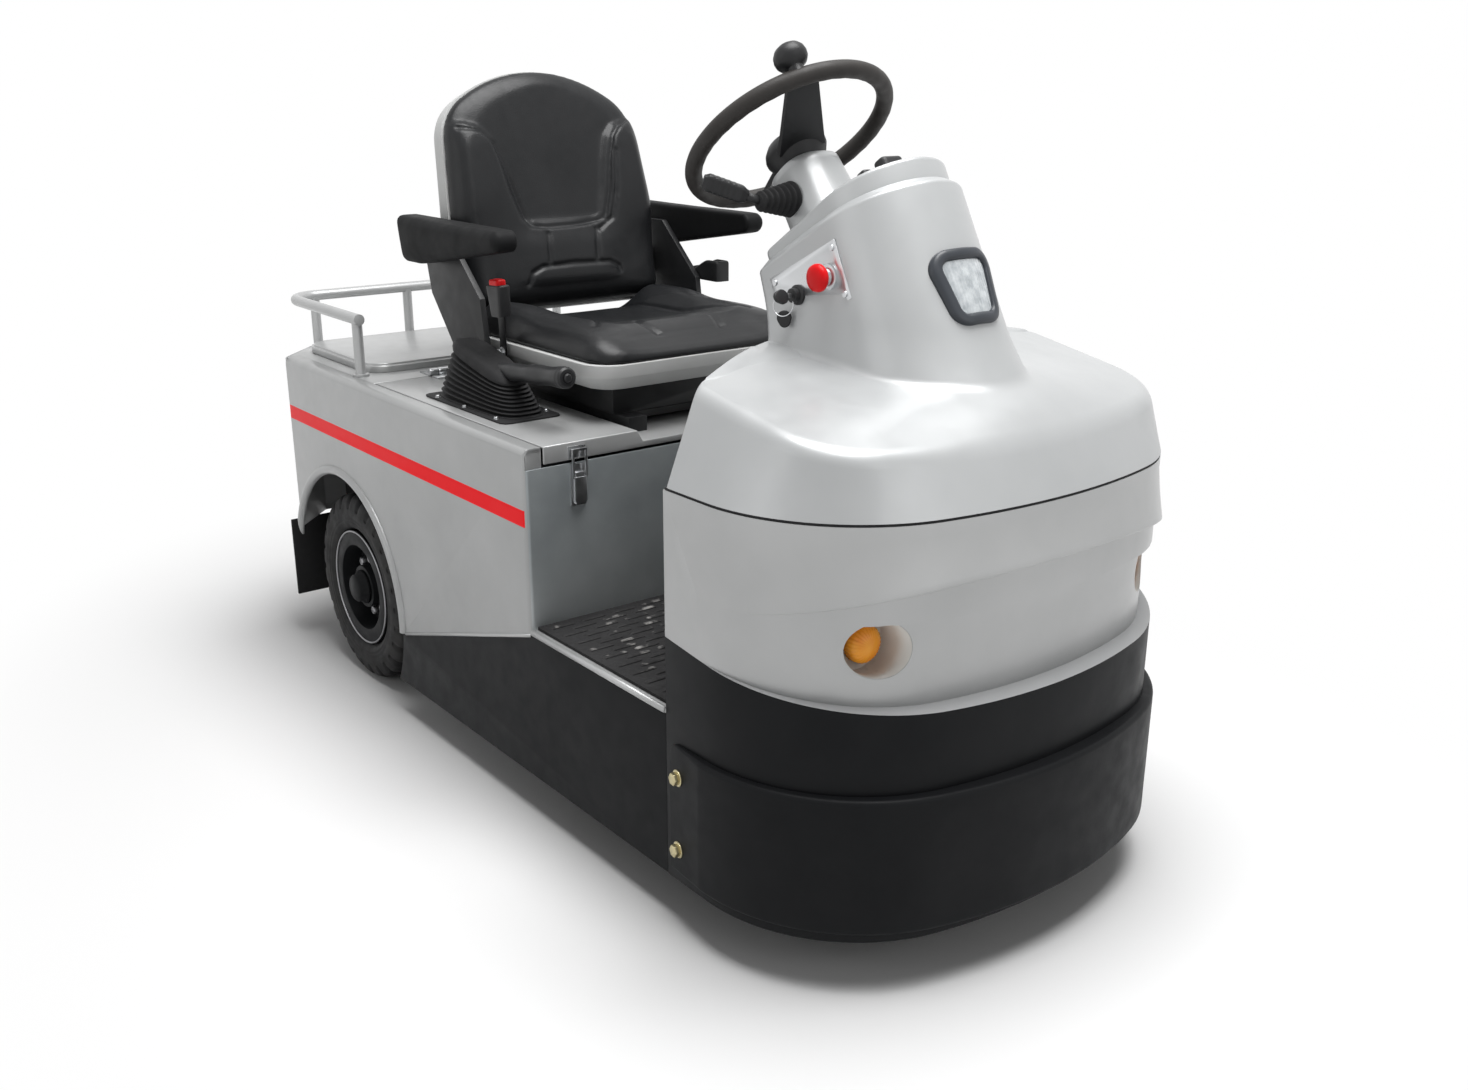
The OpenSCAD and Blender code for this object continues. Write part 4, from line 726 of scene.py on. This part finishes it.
def cap_surface():
    """The cap as section lines from the tower's ledge up its wall, over a rounded edge and in to the middle."""
    ring = closed_plan(0.111, 0.014, 0.289, 0.1105, 0.111, 0.012, 241, 40)
    inner = (ring - [0.15, 0]) * 0.5 + [0.15, 0]
    top_slope = 0.1263
    foot, top, middle = (on_tower(raised(line, low + slope * line[:, 0])) for line, low, slope in (
        (ring, -0.019, ledge_slope), (ring, -0.004, top_slope), (inner, -0.0035, top_slope)))
    return rounded_section(np.stack([foot, top, middle]), (0.008,), (9,))


soften(fit("dash_cap_shell", *skin(cap_surface()), pale_silver, "chassis", "silver_paint", ["dash_cap"]), 0)
on_cap = leaning(0.4308, 0, 0.9964, 34.2)
pod = lathe([(0.037, -0.004), (0.037, 0.006), (0.034, 0.016), (0.0325, 0.0175), (0.031, 0.0165), (0.0300, 0.013)], 72)
large = slab(bar(0.026, 0.044, 0.009), -0.002, 0.019, 0.006) + [0.250, -0.027, 0]
small = slab(bar(0.020, 0.020, 0.006), -0.002, 0.011, 0.004) + [0.230, -0.062, 0]
pod_parts = placed(on_cap, pod + [0.190, 0, 0], large, small)
soften(fit("gauge_pod", *pod_parts, plastic, "chassis", "black_plastic", ["dash_cap"]), 0)

stop_x, key_x = 0.160, 0.084
on_plate = seated(on_tower(np.array([0.0, -0.1275, -0.097])), (0, -1, 0), (cos(tilt), 0, sin(tilt)))
collar = lathe([(0.0195, 0), (0.0195, 0.004), (0.0165, 0.006), (0.0135, 0.0065), (0.0135, 0.017)], 48)
collar += [stop_x, 0, 0]
soften(fit("stop_collar", *skin(on_plate(collar)), zinc, "chassis", "zinc", ["stop_button"]), 0)
mushroom = lathe([(0.0125, 0.0150), (0.0185, 0.0160), (0.0208, 0.0190), (0.0210, 0.0230), (0.0195, 0.0272),
                  (0.0150, 0.0300), (0.0080, 0.0313), (0.0005, 0.0316)], 56)
mushroom += [stop_x, 0, 0]
smoothed(fit("stop_mushroom", *skin(on_plate(mushroom)), red, "chassis", "red", ["stop_button"]))
barrel = lathe([(0.0155, 0), (0.0155, 0.004), (0.0130, 0.0062), (0.0115, 0.0065), (0.0110, 0.0140),
                (0.0085, 0.0150)], 48)
barrel += [key_x, 0, 0]
soften(fit("key_barrel", *skin(on_plate(barrel)), plastic, "chassis", "black_plastic", ["key_switch"]), 0)
blade = slab(bar(0.012, 0.007, 0.002), 0.0, 0.002, 0.0005)
bow = slab(hull_outline([(0, 0, 0.0115), (0.006, 0, 0.009)], 48), -0.0026, 0.0026, 0.0018)
in_lock = seated(on_plate(np.array([key_x, 0.0, 0.033])), (cos(tilt), 0, sin(tilt)), (0, -1, 0))
hanging = seated(on_plate(np.array([0.050, -0.024, 0.012])), (0.7, -1, 0.1), (0.2, 0, -1))
keys = together(skin(in_lock(bow)), skin(hanging(bow)))
soften(fit("key_bows", *keys, plastic, "chassis", "black_plastic", ["key_switch"]), 0)
loop = [(0.066 + 0.017 * cos(a), -0.008 + 0.017 * sin(a), 0.020 - 0.006 * cos(a)) for a in turns_of(40)]
ring_path = on_plate(np.array(loop))
tube_angle = turns_of(8)
outward = ring_path - ring_path.mean(axis=0)
outward /= np.linalg.norm(outward, axis=1)[:, None]
axis = np.cross(outward[0], outward[10])
tube = ring_path[:, None] + 0.0008 * (outward[:, None] * np.cos(tube_angle)[None, :, None]
                                      + axis * np.sin(tube_angle)[None, :, None])
in_barrel = seated(on_plate(np.array([key_x, 0, 0.0145])), (1, 0, 0), (0, -1, 0))
metal_parts = together(skin(tube, ends=False, ring=True), skin(in_barrel(blade + [0.005, 0, -0.001])))
smoothed(fit("key_ring", *metal_parts, zinc, "chassis", "zinc", ["key_switch"]))

# Work lamp on the tower's round front: dark moulded bezel over a clear fluted lens with a bright reflector.
# Both follow the tower's cylinder; the bezel is clipped into the cover.
def lamp_outline(inset):
    """The lamp's outline (across, up) drawn in by inset: wide above, narrower below."""
    return hull_outline([(s * half, up, 0.030 - inset) for half, up in ((0.030, -0.150), (0.020, -0.206))
                         for s in (-1, 1)], 144)


def on_front(ring, radius):
    """Points (across, up) laid on a cylinder of the given radius about the tower's front axis."""
    front_axis = 0.178
    return on_tower(np.column_stack([front_axis + np.sqrt(radius ** 2 - ring[:, 0] ** 2), ring]))


bezel_paint = coating("bezel_plastic", (0.020, 0.024, 0.031), (0.030, 0.035, 0.043), 0.34, 0.44, 500, 0.0002,
                      shine=0.45)
bezel_rows = [on_front(lamp_outline(inset / 1000), radius / 1000) for inset, radius in (
    (0, 125.4), (0, 131), (1.2, 134.2), (4, 136), (11.5, 136.3), (15, 135), (16.8, 132), (16.8, 126.5))]
smoothed(fit("lamp_bezel", *skin(np.stack(bezel_rows), ends=False, ring=True), bezel_paint, "chassis", "black_plastic",
             ["head_lamp"]))

clear, n, l, shader = shader_tree("lens_painted_reflection", {"Metallic": 0.35, "Coat Weight": 0.8, "Coat Roughness": 0.05})
# The lens is opaque: its light grey patches paint in the bright reflector behind the glass, a painted reflection.
paint(n, l, shader, tones(n, l, 60, (0.36, 0.39, 0.41), (0.66, 0.69, 0.71)), 90, 0.06, 0.14)
flute_pitch = 0.0062
face = lamp_outline(0.0170)
centre = np.array([0.0, -0.178])
lens_rows = [on_front(face, 0.1265)]
for k in np.linspace(1, 0.02, 40):
    ring = centre + (face - centre) * k
    ripple = 0.0006 * np.cos(ring[:, 0] * 2 * pi / flute_pitch) * step(k, 1.0, 0.9)
    lens_rows.append(on_front(ring, 0.1308 + 0.0015 * (1 - k * k) + ripple))
smoothed(fit("lamp_lens", *skin(np.stack(lens_rows)), clear, "chassis", "lens", ["head_lamp_lens"]))

# Steering wheel: foam-covered rim on pressed tray spokes, a domed hub and a spinner knob.
# The column lever has a rubber bellows and a ribbed grip.
column_tilt, rim_radius = 39, 0.169
on_column = leaning(0.371, 0, 1.174, column_tilt)
rim_foam = coating("rim_foam", (0.018, 0.016, 0.0145), (0.027, 0.024, 0.022), 0.5, 0.65, 420, 0.0006, shine=0.35)
around, across = turns_of(144), turns_of(24)
rim_r = 0.0140 - 0.0003 * np.cos(36 * around)[:, None] * step(-np.sin(across), 0.2, 0.9)
out = rim_radius + rim_r * np.cos(across)
rim_grid = np.stack([out * np.cos(around)[:, None], out * np.sin(around)[:, None], rim_r * np.sin(across)], axis=-1)
smoothed(fit("wheel_rim", *skin(on_column(rim_grid), ends=False, ring=True), rim_foam, "steering_wheel",
             "black_plastic", ["steering_wheel"]))


def spoke_surface():
    """One spoke: a tray section with rounded flanges, narrowing outwards, its floor rising at the rim."""
    rows = []
    for x in np.linspace(0, 0.139, 22):
        half = 0.040 - 0.012 * x / 0.109
        floor_z = 0.0045 + 0.0065 * step(x, 0.105, 0.128) + 0.0065 * step(x, 0.030, 0.014)
        top = [(-half, 0.0105), (-half + 0.0012, 0.0122), (-half + 0.0040, 0.0125), (-half + 0.0062, 0.0112),
               (-half + 0.0110, floor_z + 0.0012), (-half + 0.0140, floor_z)]
        section = [(-half, 0.001)] + top + [(-y, z) for y, z in top[::-1]] + [(half, 0.001)]
        rows.append([(x, y, z) for y, z in section])
    return np.array(rows)


def spun(points, degrees):
    """Points turned about the local z axis."""
    c, s = cos(radians(degrees)), sin(radians(degrees))
    return points @ np.array([[c, s, 0], [-s, c, 0], [0, 0, 1]])


def squared(power, count):
    """Points round a circle drawn out towards a square; the higher the power, the squarer."""
    a = turns_of(count)
    return disc(1, count) / ((np.abs(np.cos(a)) ** power + np.abs(np.sin(a)) ** power) ** (1 / power))[:, None]


rise = leaning(0.030, 0, -0.044, 17)
screw = lathe([(0.0045, 0.0040), (0.0045, 0.0060), (0.0034, 0.0076), (0.0004, 0.0080)], 24)
spokes, screws = [], []
for angle in (-26, 154):
    spokes.append(skin(on_column(spun(rise(spoke_surface()), angle))))
    for spot in ((0.040, -0.017, 0.0), (0.040, 0.017, 0.0), (0.112, 0.0, 0.003)):
        screws.append(skin(on_column(spun(rise(screw + np.array(spot)), angle))))
soften(fit("wheel_spokes", *together(*spokes), plastic, "steering_wheel", "black_plastic", ["steering_wheel"]), 0)
soften(fit("wheel_screws", *together(*screws), zinc, "steering_wheel", "zinc"), 0)
hub = lathe([(0.040, -0.056), (0.052, -0.032), (0.0525, -0.026), (0.050, -0.018), (0.043, -0.009), (0.028, -0.003),
             (0.001, -0.001)], 64)
shaft = lathe([(0.012, -0.165), (0.012, -0.055)], 32)
knob = lathe([(0.0125, 0.004), (0.0112, 0.012), (0.0120, 0.017), (0.0160, 0.0200), (0.0225, 0.0240), (0.0262, 0.0300),
              (0.0272, 0.0365), (0.0258, 0.0440), (0.0215, 0.0505), (0.0150, 0.0548), (0.0070, 0.0568),
              (0.0005, 0.0572)], 56)
turned = placed(on_column, hub, shaft, spun(knob + [rim_radius, 0, 0], -28))
soften(fit("wheel_hub_and_knob", *turned, plastic, "steering_wheel", "black_plastic", ["steering_wheel"]), 0)

hood_rows = [raised(squared(2.5, 96) * [long, wide], h) for h, long, wide in (
    (-0.062, 0.040, 0.044), (-0.0605, 0.048, 0.052), (-0.063, 0.0515, 0.0555), (-0.075, 0.0525, 0.0565),
    (-0.116, 0.0535, 0.0585), (-0.160, 0.0560, 0.0620), (-0.200, 0.0600, 0.0660), (-0.235, 0.0650, 0.0700))]
hood = skin(on_column(np.stack(hood_rows)))
smoothed(fit("column_hood", *hood, pale_silver, "chassis", "silver_paint", ["steering_column"]))

column_turn = radians(column_tilt)
on_lever = seated(on_column(np.array([0, -0.058, -0.116])), (0, -1, 0), (cos(column_turn), 0, sin(column_turn)))
t = np.linspace(0, 1, 66)
bellows_r = 0.0262 - 0.0135 * t + 0.0026 * np.cos(2 * pi * 6.5 * t)
bellows = lathe(np.column_stack([bellows_r, 0.066 * t]), 48)
smoothed(fit("lever_bellows", *skin(on_lever(bellows)), rubber, "chassis", "rubber", ["shift_lever"]))
on_stalk = seated(on_lever(np.array([0, 0, 0.060])), (-0.454, -0.827, 0.333), (0.25, 0.1, 1))
rib_pitch = 0.009
h = np.linspace(0.024, 0.097, 60)
full = 0.72 + 0.28 * step(h, 0.024, 0.036) - 0.30 * step(h, 0.088, 0.097)
ribbed = step(h, 0.040, 0.046) * (1 - step(h, 0.082, 0.088))
girth = full * (1 + 0.02 * np.cos(2 * pi * (h - 0.04) / rib_pitch) * ribbed)
grip_plan = bar(0.027, 0.019, 0.005, 48)
grip = np.stack([raised(grip_plan * wide, up) for wide, up in zip(girth, h)])
stalk_parts = placed(on_stalk, grip, lathe([(0.0068, -0.004), (0.0068, 0.030)], 24))
smoothed(fit("lever_grip", *stalk_parts, plastic, "chassis", "black_plastic", ["shift_lever"]))

# Opening lid with chromed toggle latch and hinges, and the seat's base, pan and hoop.
# The lid is folded sheet in the body's silver, the pan moulded grey, the hoop flat black bar.
dress(silver, "seat_lid", edge=0.002, segments=3)
dress(zinc, "lid_hinges", "lid_latch", "lid_fittings", edge=0.0006)
dress(plastic, "seat_slides", "seat_frame", edge=0.003, segments=3)
grey = coating("grey_plastic", (0.50, 0.505, 0.50), (0.57, 0.575, 0.57), 0.42, 0.52, 400, 0.0003, shine=0.4)
dress(grey, "seat_pan", edge=0.006, segments=4)

# Cushions and armrests: stretched black vinyl over foam, sewn in panels, screwed to pan, shell and hoop.
# Each is a crowned form swelled by cloth pressure with its back held; the two cushions are then sewn along their seams.
vinyl, n, l, shader = shader_tree("vinyl", {"Specular IOR Level": 0.26})
paint(n, l, shader, tones(n, l, 7, (0.0075, 0.0080, 0.0090), (0.0125, 0.0130, 0.0140)), 45, 0.32, 0.42)
place = add(n, l, "ShaderNodeTexCoord")
pebble = add(n, l, "ShaderNodeTexVoronoi", place.outputs["Object"], None, 420)
relief(n, l, pebble.outputs["Distance"], 0.22, 0.0006, shader)


def pillow(outline, base, wall, radius, crest):
    """A closed form over an outline: flat back at base, upright wall, edge rounded by radius into the crowned front
    crest(points), as a grid of (a, b, height)."""
    centre = outline.mean(axis=0)
    rows = [raised(outline, base)]
    for k in 1 - 0.985 * np.linspace(0, 1, 48) ** 1.6:
        ring = centre + (outline - centre) * k
        inside = np.linalg.norm(ring[:, None] - outline[None], axis=-1).min(axis=1)
        swell = np.sqrt(1 - (1 - np.clip(inside / radius, 0, 1)) ** 2)
        rows.append(raised(ring, base + wall + (crest(ring) - base - wall) * swell))
    return np.stack(rows)


def near_line(points, line):
    """Distance of points (n, 2) from a polyline."""
    line = np.array(line, float)
    best = np.full(len(points), np.inf)
    for start, end in zip(line[:-1], line[1:]):
        run = end - start
        share = np.clip((points - start) @ run / (run @ run), 0, 1)
        best = np.minimum(best, np.linalg.norm(points - start - share[:, None] * run, axis=1))
    return best


def field_of(items, field, width=3, kind=float):
    """A field of a mesh's vertices or edges, as rows of an array."""
    values = np.empty(len(items) * width, kind)
    items.foreach_get(field, values)
    return values.reshape(-1, width)


def upholster(name, grid, place, node, held, cap, seams=None, voxel=0.0052, finish=vinyl):
    """A stuffed piece: the form is remeshed evenly, swelled as cloth under pressure with its held points pinned and
    its movement capped, its seams drawn in along the surface, and subdivided once."""
    frames, evenings, pressure = 20, 60, 4.0
    piece = fit(name, *skin(grid), finish, "seat_lid", "vinyl", [node])
    even = piece.modifiers.new("even", "REMESH")
    even.mode = "VOXEL"
    even.voxel_size = voxel
    evaluated = piece.evaluated_get(bpy.context.evaluated_depsgraph_get())
    piece.data = bpy.data.meshes.new_from_object(evaluated)
    piece.modifiers.clear()
    piece.data.name = name
    count = len(piece.data.vertices)
    start = field_of(piece.data.vertices, "co")
    shape = start
    pins = piece.vertex_groups.new(name="held")
    pins.add([int(i) for i in np.flatnonzero(held(start))], 1.0, "REPLACE")
    cloth = piece.modifiers.new("stuffing", "CLOTH")
    cloth.settings.vertex_group_mass = "held"
    cloth.settings.use_pressure = True
    cloth.settings.uniform_pressure_force = pressure
    cloth.settings.effector_weights.gravity = 0.0
    cloth.point_cache.frame_start = 1
    cloth.point_cache.frame_end = frames
    for number in range(1, frames + 1):
        scene.frame_set(number)
    swollen = piece.evaluated_get(bpy.context.evaluated_depsgraph_get()).data
    moved = field_of(swollen.vertices, "co") - start
    piece.modifiers.clear()
    piece.vertex_groups.clear()
    scene.frame_set(1)
    ties = field_of(piece.data.edges, "vertices", 2, int)
    ties = np.concatenate([ties, ties[:, ::-1]])
    shares = np.bincount(ties[:, 0], minlength=count)[:, None]
    for _ in range(evenings):
        moved = np.stack([np.bincount(ties[:, 0], moved[ties[:, 1], k], count) for k in range(3)], axis=-1) / shares
        moved[held(start)] = 0
    far = np.linalg.norm(moved, axis=1)
    shape = start + moved * np.minimum(1, cap / np.maximum(far, 1e-9))[:, None]
    if seams:
        shape = shape - field_of(piece.data.vertices, "normal") * seams(start)[:, None]
    piece.data.vertices.foreach_set("co", place(shape).ravel())
    piece.data.update()
    smoothed(piece)
    finer = piece.modifiers.new("finer", "SUBSURF")
    finer.levels = finer.render_levels = 1


def seat_crest(p):
    """Height of the seat cushion: a dished middle rising to the front, bolsters along the sides, higher at the rear."""
    x, y = p[:, 0], np.abs(p[:, 1])
    middle = 0.803 + 0.028 * step(x, -0.14, 0.06) - 0.016 * step(x, 0.07, 0.15)
    bolster = 0.040 * (1 - step(x, -0.20, 0.08)) + 0.006
    return middle + bolster * step(y, 0.105, 0.185)


def seat_seams(p):
    """Depth of the seat's seams: a long one inside each bolster and two short creases at the front."""
    flat = p[:, :2]
    upper = step(p[:, 2], 0.800, 0.812)
    depth = np.zeros(len(p))
    for s in (-1, 1):
        long = near_line(flat, [(-0.31, s * 0.118), (-0.10, s * 0.128), (0.01, s * 0.150), (0.05, s * 0.178)])
        short = near_line(flat, [(0.015, s * 0.070), (0.055, s * 0.082), (0.100, s * 0.072)])
        depth = np.maximum(depth, 0.0045 * np.exp(-(long / 0.0045) ** 2))
        depth = np.maximum(depth, 0.0050 * np.exp(-(short / 0.0060) ** 2))
    return depth * upper


seat_plan = hull_outline([(x, y, 0.058) for x in (-0.269, 0.090) for y in (-0.174, 0.174)], 200)
upholster("seat_pad", pillow(seat_plan, 0.7885, 0.008, 0.034, seat_crest), lambda p: p, "seat_cushion",
          lambda p: p[:, 2] < 0.793, 0.010, seat_seams)

right_edge = np.array([(0.078, 0.168), (0.101, 0.177), (0.118, 0.233), (0.130, 0.294), (0.145, 0.339), (0.165, 0.362),
                       (0.195, 0.374), (0.260, 0.384)])
left_seam = [(-0.204, 0.366), (-0.157, 0.358), (-0.129, 0.331), (-0.115, 0.292), (-0.099, 0.227), (-0.086, 0.178),
             (-0.074, 0.167)]
lumbar_seam = [(-0.106, 0.045), (-0.096, 0.069), (-0.071, 0.080), (0.001, 0.083), (0.091, 0.080), (0.114, 0.068),
               (0.115, 0.057)]
sewn = [left_seam, right_edge[6::-1], [(0.145, 0.309), (0.132, 0.227), (0.115, 0.171), (0.080, 0.150)],
        [(-0.082, 0.167), (-0.043, 0.161), (0.016, 0.162), (0.100, 0.171)],
        [(-0.046, 0.148), (-0.052, 0.086)], [(0.071, 0.151), (0.062, 0.087)], lumbar_seam]


def back_crest(p):
    """Front of the backrest: bolsters at both sides, a middle panel set back between them above the lumbar pad."""
    y, h = p[:, 0], p[:, 1]
    border = np.interp(h, right_edge[:, 1], right_edge[:, 0])
    panel = step(border - np.abs(y), -0.006, 0.022) * step(h, 0.158, 0.182)
    lumbar = step(h, 0.030, 0.060) * (1 - step(h, 0.120, 0.170)) * (1 - step(np.abs(y), 0.070, 0.150))
    bolster = (1 - panel) * step(h, 0.10, 0.24) * (1 - step(h, 0.32, 0.40)) * step(np.abs(y), 0.08, 0.15)
    return -0.012 - 0.010 * panel + 0.009 * bolster + 0.006 * lumbar


def back_seams(p):
    """Depth of the backrest's seams, on its front only."""
    flat = p[:, :2]
    depth = np.zeros(len(p))
    for line in sewn:
        depth = np.maximum(depth, 0.0062 * np.exp(-(near_line(flat, line) / 0.0040) ** 2))
    return depth * step(p[:, 2], -0.040, -0.028)


on_back = leaning(-0.285, 0, 0.825, 14.5)
arch = np.linspace(-0.118, 0.118, 15)
back_circles = [(s * y, h, r) for s in (-1, 1) for y, h, r in ((0.186, 0.044, 0.040), (0.177, 0.192, 0.060))]
back_circles += [(y, 0.362 - 0.022 * (y / 0.118) ** 2, 0.118 - 0.014 * (y / 0.118) ** 2) for y in arch]
shell_form = slab(hull_outline(back_circles, 220), 0.0520, 0.0980, 0.016)[..., [2, 0, 1]] * [-1, 1, 1]
back_shell = skin(on_back(shell_form))
soften(fit("back_shell", *back_shell, grey, "seat_lid", "grey_plastic", ["seat_back_shell"]), 0)
back_plan = hull_outline([(y, h, r - 0.002) for y, h, r in back_circles], 220)
upholster("back_pad", pillow(back_plan, -0.0515, 0.012, 0.030, back_crest), lambda p: on_back(p[:, [2, 0, 1]]),
          "seat_back_cushion", lambda p: p[:, 2] < -0.047, 0.006, back_seams)

arm_plan = hull_outline([(-0.160, 0.105, 0.012), (-0.105, 0.105, 0.012), (0.200, 0.162, 0.020),
                         (-0.176, 0.171, 0.012)], 160)
moulded = coating("arm_skin", (0.0060, 0.0062, 0.0066), (0.0100, 0.0102, 0.0108), 0.55, 0.68, 500, 0.0003, shine=0.12)
for side, name in ((-1, "armrest_right_pad"), (1, "armrest_left_pad")):
    def put(p, side=side):
        return np.column_stack([p[:, 0] - 0.285, side * (0.262 + p[:, 2]), p[:, 1] + 0.825])

    arm = pillow(arm_plan, 0.0005, 0.030, 0.018, lambda p: np.full(len(p), 0.050))
    upholster(name, arm, put, "armrests", lambda p: p[:, 2] < 0.006, 0.004, voxel=0.0045, finish=moulded)

# Belt: moulded black buckle with a red button on a flat steel stalk, bolted to the seat pan.
# The webbing's retractor is a second moulded box on the far side of the seat.
buckle = seated((-0.129, -0.270, 0.846), (-0.06, -0.05, 1))
buckle_form = slab(bar(0.050, 0.026, 0.006), 0.0, 0.058, 0.004)
buckle_form[..., 0] *= (1 - 1.6 * np.clip(0.02 - buckle_form[..., 2], 0, 1) * 10)
far_box = seated((-0.232, 0.282, 0.860), (0, 0, 1))
retractor = slab(bar(0.128, 0.036, 0.008), 0.0, 0.042, 0.006)
retractor[..., 2] *= (0.45 + 0.55 * step(retractor[..., 0], -0.03, 0.028))
boxes = together(skin(buckle(buckle_form)), skin(far_box(retractor)))
soften(fit("belt_buckle", *boxes, plastic, "seat_lid", "black_plastic", ["seat_belt"]), 0)
button = slab(bar(0.034, 0.020, 0.005), 0.050, 0.068, 0.004)
soften(fit("belt_button", *skin(buckle(button)), red, "seat_lid", "red", ["seat_belt"]), 0)
stalk_line = [(-0.172, -0.2455, 0.766), (-0.165, -0.249, 0.790), (-0.146, -0.260, 0.825), (-0.131, -0.269, 0.850)]
flat_bar = [(0.010, 0.0016), (-0.010, 0.0016), (-0.010, -0.0016), (0.010, -0.0016)]
belt_stalk = skin(sweep(stalk_line, flat_bar, (1, 0, 0)))
soften(fit("belt_stalk", *belt_stalk, plastic, "seat_lid", "black_plastic", ["seat_belt"]), 0.0006)
belt_bolt = hex_bolt(seated((-0.172, -0.2475, 0.7695), (0, -1, 0)), 0.0085, 0.010)
soften(fit("belt_bolt", *belt_bolt, zinc, "seat_lid", "zinc"), 0.0006)

# Parking brake: thick black plastic grip on a lever that comes out of a pleated rubber boot.
# The boot's moulded plate is held to the lid by six small screws.
boot_y, lid_top = -0.300, 0.6845


def boot_surface():
    """The boot: rounded rings from the plate up to the lever's root, each between a front and a rear point that rise
    by different amounts, so the pleats fan out to the rear; a wave along the height makes the pleats."""
    pleats, per = 8, 10
    square = squared(3.4, 72)
    rows = []
    for t in np.linspace(0, 1, pleats * per + 1):
        front = np.array([0.014 - 0.045 * t, lid_top + 0.052 * t])
        rear = np.array([-0.283 + 0.052 * t, lid_top + 0.096 * t])
        wave = 0.0044 * np.cos(2 * pi * pleats * t)
        middle, half = (front + rear) / 2, np.linalg.norm(front - rear) / 2 - 0.0035
        ahead = (front - rear) / np.linalg.norm(front - rear)
        long, wide = half + wave, 0.047 - 0.014 * t + wave
        run = long * square[:, 0]
        rows.append(np.column_stack([middle[0] + ahead[0] * run, boot_y + wide * square[:, 1],
                                     middle[1] + ahead[1] * run]))
    last, neck = rows[-1], np.array([-0.150, boot_y, 0.778])
    for t in np.linspace(0, 1, 10)[1:]:
        shrunk = neck + (last - last.mean(axis=0)) * (1 - 0.80 * t)
        rows.append(last * (1 - t) + shrunk * t + [0, 0, 0.010 * sin(pi * t)])
    return np.stack(rows)


smoothed(fit("boot_pleats", *skin(boot_surface()), rubber, "seat_lid", "rubber", ["brake_boot"]))
plate_form = slab(bar(0.315, 0.124, 0.016, 80), 0.6812, 0.6842, 0.001) + [-0.1315, boot_y, 0]
soften(fit("boot_plate", *skin(plate_form), rubber, "seat_lid", "rubber", ["brake_boot"]), 0)
screws = [hex_bolt(seated((x, y, 0.684), (0, 0, 1)), 0.0042, 0.004)
          for x in (-0.245, -0.137, -0.018) for y in (-0.352, -0.248)]
soften(fit("boot_screws", *together(*screws), zinc, "seat_lid", "zinc"), 0.0003)
grip_axis = radians(84)
on_grip = seated((-0.125, boot_y, 0.750), (sin(grip_axis), 0, cos(grip_axis)), (0, 1, 0))
length = np.linspace(0, 1, 70)
grip_r = 0.0145 + 0.0040 * length + 0.0009 * np.cos(2 * pi * 3 * length)
grip_end = [(0.0188, 0.2635), (0.0192, 0.2665), (0.0186, 0.2705), (0.0150, 0.2735), (0.0095, 0.2740), (0.0090, 0.2722),
            (0.0004, 0.2722)]
grip_form = lathe(np.concatenate([np.column_stack([grip_r, 0.262 * length]), grip_end]), 56)
cap_button = lathe([(0.0078, 0.2715), (0.0078, 0.2755), (0.0055, 0.2772), (0.0004, 0.2775)], 32)
grip_parts = placed(on_grip, grip_form, cap_button)
soften(fit("brake_grip", *grip_parts, plastic, "seat_lid", "black_plastic", ["brake_lever"]), 0)
